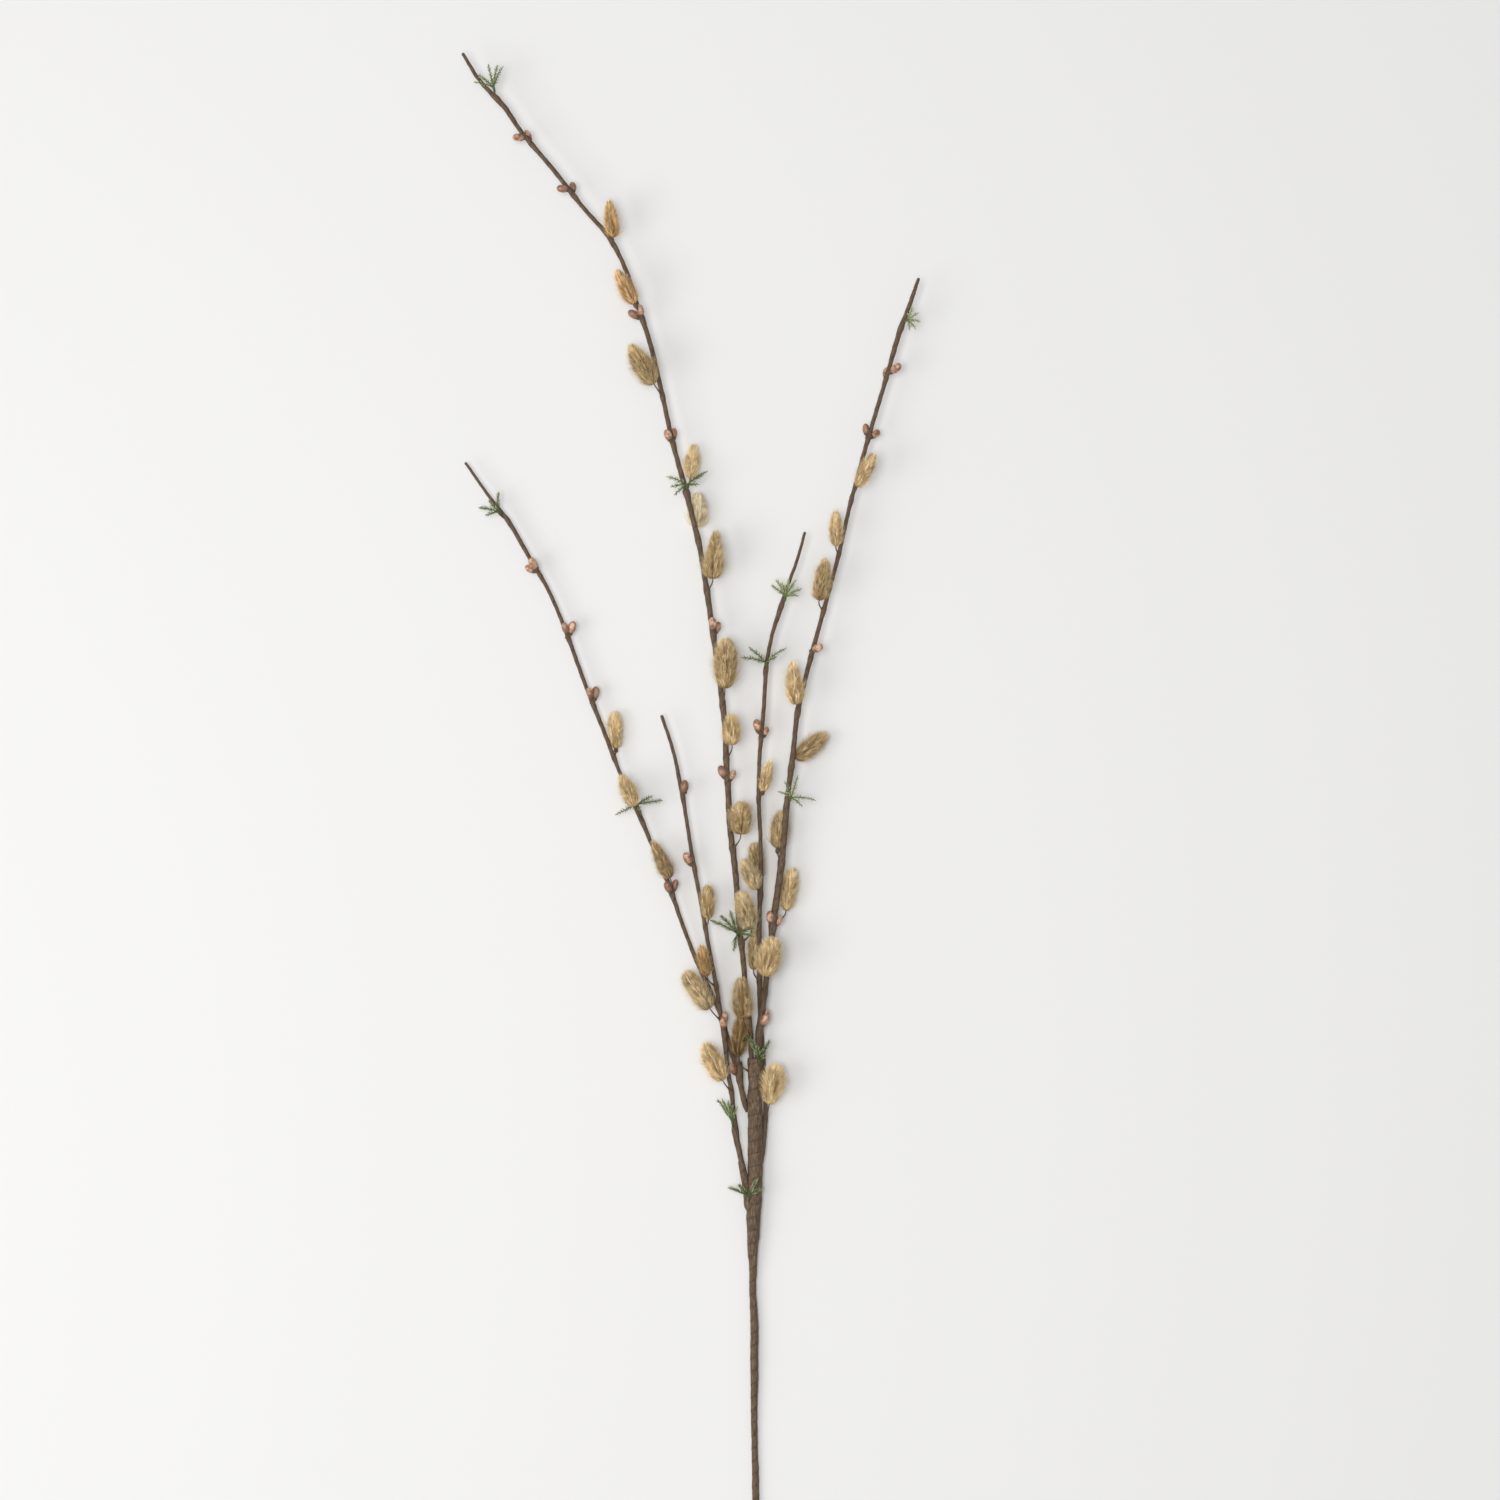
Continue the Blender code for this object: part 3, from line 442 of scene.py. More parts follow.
# Green sprigs: what carries it, its place there, how pale it is, how many degrees its leaves stand out
# and how long they are, its root point and the tips of its fronds.
SPRIGS = (
    ("tall", "top", 0.62, 40, 3.0, (-136.5, 523.5, 21.8),
     ((-140.5, 540.5, 24.5), (-134.5, 540.5, 22), (-131, 539, 24), (-150, 529, 24), (-147, 533.5, 26))),
    ("tall", "mid", 0.45, 38, 3.8, (-2, 246.5, 19.8),
     ((-14.5, 253.5, 21), (-12.5, 247, 20), (-10, 242, 21), (8.5, 255, 21), (5, 248.5, 20), (11, 257, 23))),
    ("tall", "low", 0.25, 24, 5.4, (33.5, -66.5, 15.8),
     ((16, -56.5, 19), (22.5, -53.5, 22.5), (28.5, -51, 19.5), (45, -61.5, 29), (43, -66.5, 27),
      (31, -76, 20))),
    ("right", "top", 1.05, 44, 3.0, (150.5, 362.5, 21.4),
     ((155, 371.5, 24), (158.5, 367.5, 25), (160, 362.5, 22.5), (157, 358, 21), (153.5, 357, 23))),
    ("right", "mid", 0.85, 52, 2.7, (70, 28, 20.8),
     ((66.5, 40.5, 22.5), (62, 34, 20.5), (75, 44, 24), (87, 28, 20), (78, 24, 21))),
    ("left", "top", 0.4, 26, 4.2, (-133, 228, 12.8),
     ((-146, 232.5, 13), (-141.5, 227.5, 16), (-134, 242, 14), (-139.5, 236.5, 17))),
    ("left", "mid", 0.52, 42, 3.3, (-38, 24.5, 13.5),
     ((-51.5, 18, 14), (-20.5, 27.5, 14.5), (-27.5, 30.5, 12.5), (-34.5, 19, 15))),
    ("middle", "top", 0.95, 26, 4.6, (66.5, 168, 19.6),
     ((58, 177, 22), (61, 181, 20), (65, 178, 25), (69, 181, 24), (73, 180, 22), (76, 175, 21),
      (74, 171, 23.5))),
    ("middle", "low", 0.56, 40, 3.6, (54, 122.5, 18.8),
     ((37, 127.5, 20.5), (42, 134, 22.5), (46, 126, 25), (66, 133.5, 21.5), (59.5, 127.5, 23.5))),
    ("main", "top", 0.12, 26, 5.4, (48.6, -156, 13.2),
     ((40, -136, 17), (43.5, -141, 20.5), (47, -145, 22), (51, -147, 20), (55, -141.5, 18), (52, -151, 22))),
    ("main", "low", 0.3, 22, 5.6, (41, -251.5, 12),
     ((28.5, -243.5, 14), (35, -242, 17), (46.5, -238, 18.5), (49.5, -244, 16))),
    ("short", "low", 0.4, 20, 4.8, (30, -199.5, 12.8),
     ((20.5, -183, 15), (23.5, -183, 18), (27, -183.5, 20), (29.5, -187, 17), (32.5, -188, 18))),
)
# A wire that was cut short and its end left standing in the tape, by the shoot it stands on.
STUBS = {"left": ((36.4, -173, 6.4, 1.0), (35.2, -165, 6.9, 2.1), (34.3, -155.6, 7.4, 2.1))}
SHOOT_RINGS_APART = 1.2
SHOOT_SIDES = 20
SLOPE_STEP = 3
# A knot's height and half length, how far below a bud pair it sits, and the least radius that takes it.
KNOT_RISE = 0.4
KNOT_LENGTH = 3.2
KNOT_BELOW_BUDS = 2
LEAST_KNOTTED = 0.8
# A stalk's radius at each share of its length, and the same where it ends in a scale.
STALK_WIDTH = ((0, 1.35), (0.15, 0.95), (0.35, 0.5), (1, 0.4))
SCALE_WIDTH = ((0, 1.35), (0.15, 0.95), (0.35, 0.5), (0.6, 0.45), (0.72, 1.1), (0.85, 1.7), (1, 1.5))
STALK_SIDES = 8
STALK_STEPS = 18
STALK_TAPE_TURN = 4.0
# A stalk leaves its stem this far below what it carries, and lower by this share of its reach.
STALK_LEAST_DROP = 1.5
STALK_DROP = 0.85
STALK_BEND = 0.3
STALK_END = 1.2
SPRIG_RISE = (0, 3, 5)
# The sleeves of the side shoots: how far along from the shoot's foot, and the radius there.
SLEEVE_TAPE_TURN = 6.0
SLEEVES = {
    "left": ((-7, 0.8), (0, 2.0), (6, 2.0), (11, 1.85)),
    "middle": ((-24, 0.7), (-14, 1.6), (0, 1.8), (6, 1.7), (11, 1.6)),
    "short": ((-30, 1.0), (-21, 4.2), (-14, 3.1), (-9, 2.7), (0, 2.7), (6, 2.5), (11, 2.2)),
}
# How far a bud's foot is from the middle of its shoot. A bud that leans out far sits closer.
BUD_STANDOFF = 2.3
FAR_LEAN = 45
FAR_LEAN_STANDOFF = 1.0
COLLAR_RINGS_APART = 0.6
COLLAR_SIDES = 12
COLLAR_TAPE_TURN = 3.0


def unit(vector):
    return np.asarray(vector, float) / np.linalg.norm(vector)


def point_at(line, y):
    """The middle of a stem at this y, which rises all along it."""
    return np.array([np.interp(y, line[:, 1], line[:, column]) for column in range(3)])


def way_at(line, y):
    return unit(point_at(line, y + SLOPE_STEP) - point_at(line, y - SLOPE_STEP))


def sprig_way(root, tips):
    return unit(np.mean(tips, axis=0) - root + SPRIG_RISE)


def stalk_root(line, base):
    """The y at which a stalk leaves its stem. The further it reaches, the lower it starts."""
    away = np.linalg.norm(np.array(base) - point_at(line, base[1]))
    return base[1] - STALK_LEAST_DROP - STALK_DROP * away


def stalk(line, base, way, scaled, seed):
    """A wire that bends out of the stem's wrapping, thick at first where tape covers it. Some end in a
    dark scale that cups the foot of the catkin."""
    base = np.array(base, float)
    root = point_at(line, stalk_root(line, base))
    end = base - way * STALK_END
    bend = end - way * STALK_BEND * np.linalg.norm(end - root)
    share = np.linspace(0, 1, STALK_STEPS)[:, None]
    curve = root * (1 - share) ** 2 + bend * 2 * share * (1 - share) + end * share ** 2
    curve = np.vstack([curve, base + way])
    wide = np.interp(np.append(share[:, 0], 1), *zip(*(SCALE_WIDTH if scaled else STALK_WIDTH)))
    return tube(np.column_stack([curve, wide]), STALK_SIDES, STALK_TAPE_TURN, seed)


def load_of(key):
    """Base and way of everything on a wire stalk on this stem, and whether it has a scale."""
    catkins = [
        (row[0], unit(np.subtract(row[1], row[0])), (key, number) in SCALED)
        for number, row in enumerate(CATKINS.get(key, ()), 1)
    ]
    sprigs = [(row[5], sprig_way(row[5], row[6]), False) for row in SPRIGS if row[0] == key]
    return catkins + sprigs


def bud_ways(line, rows):
    """For each bud of a shoot: the middle of the shoot there, the bud's foot, its way and its size."""
    for y, buds in rows:
        for turn, lean, raised_by, size in buds:
            at = y + raised_by
            ahead = way_at(line, at)
            side = unit(np.cross(ahead, UP))
            raised = np.cross(side, ahead)
            round_by, out_by = math.radians(turn), math.radians(lean)
            out = side * math.cos(round_by) + raised * math.sin(round_by)
            way = ahead * math.cos(out_by) + out * math.sin(out_by)
            middle = point_at(line, at)
            foot = middle + out * (BUD_STANDOFF if lean < FAR_LEAN else FAR_LEAN_STANDOFF)
            yield middle, foot, unit(way), size


def collar(middle, foot, way, size):
    """The line of the tape that holds a bud, from inside the shoot to round the bud's foot."""
    between = (middle + foot) / 2
    return np.array([
        (*(middle - way * 3), 1.0), (*(between - way * 1.2), 1.5 * size),
        (*(foot + way * 0.3), 1.8 * size), (*(foot + way * 1.5), 1.75 * size),
        (*(foot + way * 2), 1.2 * size),
    ])


lines = {key: smooth_line(rows, SHOOT_RINGS_APART, True) for key, rows in SHOOTS.items()}
for number, (key, line) in enumerate(lines.items()):
    knots = [stalk_root(line, base) for base, *_ in load_of(key)]
    knots += [y - KNOT_BELOW_BUDS for y, _ in BUD_ROWS[key]]
    for y in knots:
        rise = KNOT_RISE * np.exp(-((line[:, 1] - y) / KNOT_LENGTH) ** 2)
        line[:, 3] += rise * (line[:, 3] > LEAST_KNOTTED)
    forms = [tube(line, SHOOT_SIDES, TAPE_TURN, 10 + number)]
    forms += [stalk(line, *load, 20 + order) for order, load in enumerate(load_of(key))]
    if key in STUBS:
        stub = smooth_line(STUBS[key], SHOOT_RINGS_APART)
        forms.append(tube(stub, SHOOT_SIDES, TAPE_TURN, 40 + number))
    for held in bud_ways(line, BUD_ROWS[key]):
        hold = smooth_line(collar(*held), COLLAR_RINGS_APART)
        forms.append(tube(hold, COLLAR_SIDES, COLLAR_TAPE_TURN, number))
    piece("tape_wound_shoot_" + key, joined(forms), tape, "stem_tape", "shoot_" + key)
    if key in SLEEVES:
        foot = line[0, :3]
        ahead = unit(line[4, :3] - foot)
        rows = [(*(foot + ahead * reach), wide) for reach, wide in SLEEVES[key]]
        sleeve = smooth_line(rows, SHOOT_RINGS_APART)
        main_forms.append(tube(sleeve, SHOOT_SIDES, SLEEVE_TAPE_TURN, 30 + number))

for order, load in enumerate(load_of("main")):
    main_forms.append(stalk(main_line, *load, 50 + order))
main_form = joined(main_forms)
# The stem lies on the surface, so it is flat below where its lumps would go under it.
main_form["points"][:, 2] = np.maximum(main_form["points"][:, 2], 0)
piece("tape_wound_main_stem", main_form, tape, "stem_tape", "main_stem")


# Buds
# Pairs of small moulded beads in copper pink, each a blunt egg with seams where its scales meet.
# Each is pushed on a wire end, and its foot is held against the shoot by a collar of tape.
BUD_LENGTH = 7.8
BUD_WIDTH = 5.2
BUD_SIZES = (0.96, 1.04)
# The half width at each place along a bud, both as shares.
BUD_OUTLINE = ((0, 0.45), (0.08, 0.72), (0.22, 0.93), (0.42, 1), (0.62, 0.97), (0.78, 0.84), (0.9, 0.6),
               (0.97, 0.32), (1, 0.04))
BUD_RINGS = 20
BUD_SIDES = 24
# The two seams of a bud: their depth and width as shares of its half width, and how far they twist.
SEAM_DEPTH = 0.06
SEAM_WIDTH = 0.25
SEAM_TWIST = 0.8
BUD_BROWN = (0.25, 0.105, 0.062)
BUD_COPPER = (0.52, 0.285, 0.180)
BUD_PALE = (0.84, 0.58, 0.42)
BUD_TINTED = (0.22, 0.100, 0.062)
BUD_FOOT = (0.19, 0.110, 0.068)
BUD_SEAM_SHADE = (0.24, 0.115, 0.068)


def bud(foot, way, size, seed):
    """Points, faces and values of one bud, with its foot at a point and its tip along a way."""
    draw = np.random.default_rng(seed)
    share = np.sin(np.linspace(0, math.pi / 2, BUD_RINGS))
    size = size * draw.uniform(*BUD_SIZES)
    wide = np.interp(share, *zip(*BUD_OUTLINE)) * BUD_WIDTH / 2 * size
    form = tube(np.column_stack([foot + share[:, None] * way * BUD_LENGTH * size, wide]), BUD_SIDES)
    wrap = form.pop("wrap")
    turn = np.arctan2(wrap[:, 1], wrap[:, 0]) + draw.uniform(0, 6)
    height = np.clip(wrap[:, 2] / (BUD_LENGTH * size), 0, 1)
    axis_point = foot + ((form["points"] - foot) @ way)[:, None] * way
    seam = np.exp(-((np.sin(turn + height * SEAM_TWIST) / SEAM_WIDTH) ** 2)) * np.clip(height * 3, 0, 1)
    form["points"] = axis_point + (form["points"] - axis_point) * (1 - SEAM_DEPTH * seam)[:, None]
    form["height"] = height
    form["tone"] = np.full(len(height), draw.uniform(0, 1))
    form["seam"] = seam
    return form


def bud_finish():
    """Satin moulded plastic, tinted browner in blotches, darker towards the foot, and with painted shade
    along the sunken seams.
    """
    finish, start = new_finish("bud_copper")
    height, tone, seam = start.value_of("height"), start.value_of("tone"), start.value_of("seam")
    place = start.node("ShaderNodeTexCoord", {}, {}, "Object")
    blotch = place.noise(330, 4, 0.6)
    tint = blotch.ramp((0.36, BUD_BROWN), (0.5, BUD_COPPER), (0.64, BUD_PALE))
    tint = (tone * 1.4 - 0.6).above(0).blend(tint, BUD_TINTED)
    tint = ((0.45 - height).above(0) * 1.5).blend(tint, BUD_FOOT)
    # Painted shade along the sunken seams.
    tint = (seam * 0.55).blend(tint, BUD_SEAM_SHADE)
    sockets = {
        "Base Color": tint, "Roughness": 0.3 + blotch * 0.2, "Specular IOR Level": 0.5,
        "Normal": blotch.bump(0.2),
    }
    shader = start.node("ShaderNodeBsdfPrincipled", {}, sockets)
    start.node("ShaderNodeOutputMaterial", {}, {"Surface": shader})
    return finish


copper = bud_finish()
for number, (key, rows) in enumerate(BUD_ROWS.items()):
    ways = enumerate(bud_ways(lines[key], rows))
    beads = [bud(foot, way, size, 100 * number + order) for order, (_, foot, way, size) in ways]
    piece("moulded_buds_" + key, joined(beads), copper, "bud_copper")


# Catkins
# Eggs of soft plush fur, each on a wire stalk: a slim dark core with fine short hairs glued into it all
# round. The hairs stand out and forwards, gather in small tufts, and make a soft edge whose paleness is a
# painted glow of light through the thin hairs.

# The core: its width as a share of the egg's, where it starts and ends along the egg, and its values.
CORE_SHARE = 0.55
CORE_ENDS = (0.02, 0.88)
CORE_RINGS = 12
CORE_SIDES = 14
CORE_TONE = 0.5
CORE_DARK = 0.1
# How many hairs, tufts and dark specks stand on each square millimetre of the egg.
HAIRS_ON_MM2 = 7.7
TUFTS_ON_MM2 = 0.46
SPECKS_ON_MM2 = 0.09
# A hair: its width at the root and the middle, its length, and how many degrees it stands out. It is
# shorter on a catkin narrower than the width given last.
HAIR_WIDTHS = (0.19, 0.15)
HAIR_REACH = (4.0, 7.5)
HAIR_STAND = (24, 52)
FULL_REACH_WIDTH = 13
# A tuft: its radius, its width as a share of its length, and how far it draws hairs to its middle.
TUFT_SIZE = 0.9
TUFT_STRETCH = 0.24
TUFT_PULL = 0.38
# How far out the hairs of the body end, as a share of the egg's half width. The share of hairs that
# are strays, which make the soft edge, how far out these end at least and how much further at most,
# how far along they stay broad, and how wide they are beside the others.
BODY_SOFTNESS = (0.70, 0.95)
RIM_SHARE = 0.34
RIM_SOFTNESS = (0.84, 0.52)
RIM_FULLNESS = 0.78
STRAY_WIDTH = 0.62
# A parting: its half width, how far it wanders to the sides, and how deep the deepest one is.
PARTING_WIDTH = 1.1
PARTING_WANDER = 0.7
PARTING_DEPTH = 0.45
# The share of hairs that are dark anywhere, and how dark these are.
DARK_SHARE = 0.05
DARK_DEPTHS = (0.2, 0.7)
# A dark speck: its half length and half width, how dark it is, and where along the egg specks can be.
SPECK_SIZE = (1.6, 0.55)
SPECK_DEPTHS = (0.5, 1.2)
SPECK_ENDS = (0.08, 0.88)
# How much the lumps of an egg add to its width, each as a share.
LUMP_RISE = 0.022
# What a hair's strand value is at its five points, which picks its colour from root to tip.
BODY_STRAND = (0.0, 0.0, 0.5, 0.5, 1.0)
# Strays are pale nearly all along: a painted glow of light through the thin hairs at the edge.
STRAY_GLOW_STRAND = (0.45, 0.45, 0.82, 0.82, 1.0)
# Each kind of fur: its colour at the root, in the middle and at the tip, and how much dark shows.
FURS = {
    "cream": ((0.95, 0.78, 0.52), (1.00, 0.90, 0.67), (1.00, 0.98, 0.88), 0.05),
    "light": ((0.60, 0.38, 0.16), (1.00, 0.785, 0.445), (1.00, 0.96, 0.74), 0.5),
    "pale": ((0.47, 0.29, 0.115), (0.93, 0.715, 0.39), (1.00, 0.94, 0.71), 0.65),
    "beige": ((0.28, 0.165, 0.066), (0.77, 0.57, 0.29), (0.98, 0.90, 0.65), 0.9),
    "golden": ((0.34, 0.165, 0.055), (0.93, 0.62, 0.295), (1.00, 0.88, 0.60), 0.8),
    "ochre": ((0.24, 0.125, 0.045), (0.70, 0.45, 0.205), (0.93, 0.74, 0.45), 0.9),
    "tan": ((0.18, 0.10, 0.038), (0.58, 0.41, 0.20), (0.93, 0.81, 0.55), 0.9),
    "olive": ((0.33, 0.22, 0.100), (0.92, 0.75, 0.45), (1.00, 0.95, 0.74), 0.9),
    "brown": ((0.09, 0.048, 0.019), (0.38, 0.245, 0.10), (0.74, 0.56, 0.32), 0.8),
}
DARK_HAIR_AND_SHADE = (0.085, 0.042, 0.016)
# What the fur's colour is multiplied by in the deepest and in the palest tuft.
TUFT_SHADES = ((0.50, 0.41, 0.30), (1.42, 1.42, 1.40))


def fur_finish(name, root, body, tip):
    """Silky fibre, dark at the core, paler to the ends, with each tuft in a shade of its own."""
    finish, start = new_finish("catkin_fur_" + name)
    strand, tone, dark = start.value_of("strand"), start.value_of("tone"), start.value_of("dark")
    place = start.node("ShaderNodeTexCoord", {}, {}, "Object")
    patch = place.noise(170, 2)
    fibre = strand.ramp((0.1, root), (0.55, body), (1, tip))
    fibre = (patch * 2.2 - 0.95).above(0).below(0.35).blend(fibre, tuple(0.75 * c for c in body))
    fibre = fibre * tone.blend(*TUFT_SHADES)
    # Dark hairs and specks, and painted shade in the partings.
    fibre = dark.blend(fibre, DARK_HAIR_AND_SHADE)
    sockets = {"Base Color": fibre, "Roughness": 0.7, "Specular IOR Level": 0.1}
    shader = start.node("ShaderNodeBsdfPrincipled", {}, sockets)
    start.node("ShaderNodeOutputMaterial", {}, {"Surface": shader})
    return finish


def turned_by(turn, other):
    """How far a turn is past another, from -pi to pi."""
    return (turn - other + math.pi) % (2 * math.pi) - math.pi


class Egg:
    """The form of a catkin: a lumpy egg round its core. A turn of 0 is the side that faces up."""

    def __init__(self, base, tip, width, shape, draw):
        self.base, tip = np.array(base, float), np.array(tip, float)
        self.length = np.linalg.norm(tip - self.base)
        self.way = (tip - self.base) / self.length
        self.side = unit(np.cross(self.way, UP))
        self.raised = np.cross(self.side, self.way)
        self.half = width / 2
        self.area = math.pi * width * self.length * 0.8
        self.waist, self.foot, self.crown = shape
        self.phases = draw.uniform(0, 2 * math.pi, 6)

    def half_width(self, share):
        """Half width of the egg at a share of its length."""
        below = np.clip((self.waist - share) / self.waist, 0, 1)
        above = np.clip((share - self.waist) / (1.02 - self.waist), 0, 1)
        round_base = (1 - below ** self.foot) ** 0.5
        return self.half * round_base * (1 - above ** self.crown) ** 0.52

    def uneven(self, share, turn):
        """A little more or less than 1, for lumps."""
        waves = [
            np.sin(turn * (1 + k % 3) + share * (3 + 2 * k) + phase) for k, phase in enumerate(self.phases)
        ]
        return 1 + LUMP_RISE * sum(waves)

    def outward(self, turn):
        return self.raised * np.cos(turn)[:, None] + self.side * np.sin(turn)[:, None]

    def place(self, share, turn, reach):
        """The point at a share of the length, a turn round the core and a reach out from it."""
        return self.base + self.way * (share * self.length)[:, None] + self.outward(turn) * reach[:, None]

    def spread(self, number, draw):
        """Places spread evenly over the egg: their shares of its length and their turns."""
        steps = np.linspace(0, 1, 200)
        weight = np.cumsum(self.half_width(steps) + 0.06 * self.half)
        share = np.interp(draw.uniform(0, 1, number), weight / weight[-1], steps)
        return share, draw.uniform(-math.pi, math.pi, number)


def specked(egg, share, turn, draw):
    """How dark each hair is that ends at these places: a few anywhere, and more in specks."""
    count = len(share)
    dark = (draw.uniform(0, 1, count) < DARK_SHARE) * draw.uniform(*DARK_DEPTHS, count)
    speck_share, speck_turn = egg.spread(int(SPECKS_ON_MM2 * egg.area), draw)
    along = (share[:, None] - speck_share) * egg.length / SPECK_SIZE[0]
    aside = turned_by(turn[:, None], speck_turn) * egg.half_width(share)[:, None] / SPECK_SIZE[1]
    speck = np.exp(-(along ** 2 + aside ** 2)).max(axis=1)
    speck = speck * draw.uniform(*SPECK_DEPTHS, count) * (share > SPECK_ENDS[0]) * (share < SPECK_ENDS[1])
    return np.maximum(dark, speck)


def parted(egg, partings, share, turn, seed):
    """How deep each hair is sunk that ends at these places: 0 beside the partings, up to 1 in them."""
    sunk = np.zeros(len(share))
    for degrees, first, last, depth in partings:
        wander = PARTING_WANDER * np.sin(share * 9 + seed)
        away = turned_by(turn, math.radians(degrees)) * egg.half_width(share) + wander
        here = np.exp(-((away / PARTING_WIDTH) ** 2)) * depth * (np.cos(turn) > 0)
        here *= np.clip((share - first) * 8, 0, 1) * np.clip((last - share) * 8 + 0.3, 0, 1)
        sunk = np.maximum(sunk, here)
    return sunk


def ribbons(egg, turn, rim, roots, mids, ends, draw):
    """The five points of each hair: two at its broad root, two in the middle and one at the end."""
    roll = draw.uniform(-0.9, 0.9, len(turn))
    out = egg.outward(turn)
    flat = np.cross(egg.way, out) * np.cos(roll)[:, None] + out * np.sin(roll)[:, None]
    broad = (draw.uniform(0.7, 1.2, len(turn)) * np.where(rim, STRAY_WIDTH, 1))[:, None] / 2
    at_root, at_middle = (flat * broad * width for width in HAIR_WIDTHS)
    corners = [roots - at_root, roots + at_root, mids + at_middle, mids - at_middle, ends]
    return np.stack(corners, axis=1).reshape(-1, 3)


def catkin(seed, base, tip, width, shape, partings, darkness):
    """Points, faces and values of a catkin's core and hairs."""
    draw = np.random.default_rng(seed)
    egg = Egg(base, tip, width, shape, draw)
    core_share = np.linspace(*CORE_ENDS, CORE_RINGS)
    core_middle = egg.base + egg.way * (core_share * egg.length)[:, None]
    core = tube(np.column_stack([core_middle, egg.half_width(core_share) * CORE_SHARE]), CORE_SIDES)

    # Each hair's end is drawn to the middle of the nearest tuft.
    count = int(HAIRS_ON_MM2 * egg.area)
    end_share, turn = egg.spread(count, draw)
    tuft_share, tuft_turn = egg.spread(int(TUFTS_ON_MM2 * egg.area), draw)
    sideways = turned_by(turn[:, None], tuft_turn) * egg.half_width(end_share)[:, None]
    gap = np.hypot((end_share[:, None] - tuft_share) * egg.length * TUFT_STRETCH, sideways)
    nearest = gap.argmin(axis=1)
    edge = np.clip(gap[np.arange(count), nearest] / TUFT_SIZE, 0, 1)
    pull = TUFT_PULL * draw.uniform(0.4, 1.2, count)
    end_turn = turn - turned_by(turn, tuft_turn[nearest]) * pull
    end_share = end_share + (tuft_share[nearest] - end_share) * pull + draw.normal(0, 0.012, count)
    dark = specked(egg, end_share, end_turn, draw) * 1.3 * darkness
    sunk = parted(egg, partings, end_share, end_turn, seed)

    # How each hair stands, and how far out it ends. It lies flatter towards the tip of the catkin.
    stand = np.radians(draw.uniform(*HAIR_STAND, count)) * (1 - 0.55 * np.clip(end_share - 0.45, 0, 1))
    reach = draw.uniform(*HAIR_REACH, count) * min(1, width / FULL_REACH_WIDTH)
    rim = (draw.uniform(0, 1, count) < RIM_SHARE) & (sunk < 0.35)
    stray = RIM_SOFTNESS[0] + RIM_SOFTNESS[1] * draw.uniform(0, 1, count) ** 1.6
    soft = np.where(rim, stray, draw.uniform(*BODY_SOFTNESS, count))
    stand = stand * np.where(rim, 1.3, 1)
    # Hairs sunk in a parting are darkened with painted shade.
    shade = sunk * draw.uniform(0.8, 1.7, count)
    # Strays keep little of their dark, as part of their painted glow.
    dark = np.clip(np.maximum(dark * np.where(rim, 0.35, 1), shade), 0, 0.95)
    full_out = egg.half_width(end_share) * egg.uneven(end_share, end_turn) * soft
    end_out = np.maximum(full_out * (1 - PARTING_DEPTH * sunk) - 0.25 * edge, 0.1)
    root_out = np.maximum(end_out - reach * np.sin(stand), 0.35 * end_out)
    root_share = end_share - reach * np.cos(stand) / egg.length
    root_share = np.maximum(root_share, draw.uniform(0, 0.06, count))
    root_share = np.minimum(root_share, end_share + 0.02)

    # Each hair is a ribbon with a broad root, a middle and a point.
    full = np.where(rim, RIM_FULLNESS, 0.5)
    mid_out = root_out + (end_out - root_out) * full + reach * 0.06
    mid_turn = turn + turned_by(end_turn, turn) * full
    roots = egg.place(root_share, turn, root_out)
    mids = egg.place(root_share + (end_share - root_share) * full, mid_turn, mid_out)
    ends = egg.place(end_share, end_turn, end_out)
    points = np.vstack([core["points"], ribbons(egg, turn, rim, roots, mids, ends, draw)])
    points[:, 2] = np.maximum(points[:, 2], 0)
    bare = len(core["points"])
    start = bare + np.arange(count)[:, None] * 5
    faces = core["faces"] + (start + (0, 1, 2, 3)).tolist() + (start + (3, 2, 4)).tolist()

    # The tone of a hair follows its tuft's, darker at a tuft's edge as painted shade between the tufts, and
    # paler on the strays as a painted glow. Roots are paler near the tip, where they can be seen.
    tuft_tone = draw.normal(0.5, 0.28, len(tuft_share))
    tone = np.clip(tuft_tone[nearest] + draw.normal(0, 0.2, count) - 0.2 * edge + 0.22 * rim, 0, 1)
    strand = np.where(rim[:, None], STRAY_GLOW_STRAND, BODY_STRAND)
    strand = np.maximum(strand, 0.6 * np.clip((end_share - 0.5) * 3, 0, 1)[:, None])
    core_strand = 0.25 + 0.45 * np.clip((core["wrap"][:, 2] / egg.length - 0.45) * 4, 0, 1)
    return {
        "points": points, "faces": faces,
        "strand": np.append(core_strand, strand.ravel()),
        "tone": np.append(np.full(bare, CORE_TONE), np.repeat(tone, 5)),
        "dark": np.append(np.full(bare, CORE_DARK), np.repeat(dark, 5)),
    }


furs = {name: fur_finish(name, *colours[:3]) for name, colours in FURS.items()}
for key, rows in CATKINS.items():
    for order, (base, tip, width, kind, shape, partings) in enumerate(rows, 1):
        place_name = f"{key}_{order:02d}"
        form = catkin(len(key) * 1000 + order, base, tip, width, shape, partings, FURS[kind][3])
        piece("furry_catkin_" + place_name, form, furs[kind], "catkin_fur", "catkin_" + place_name)


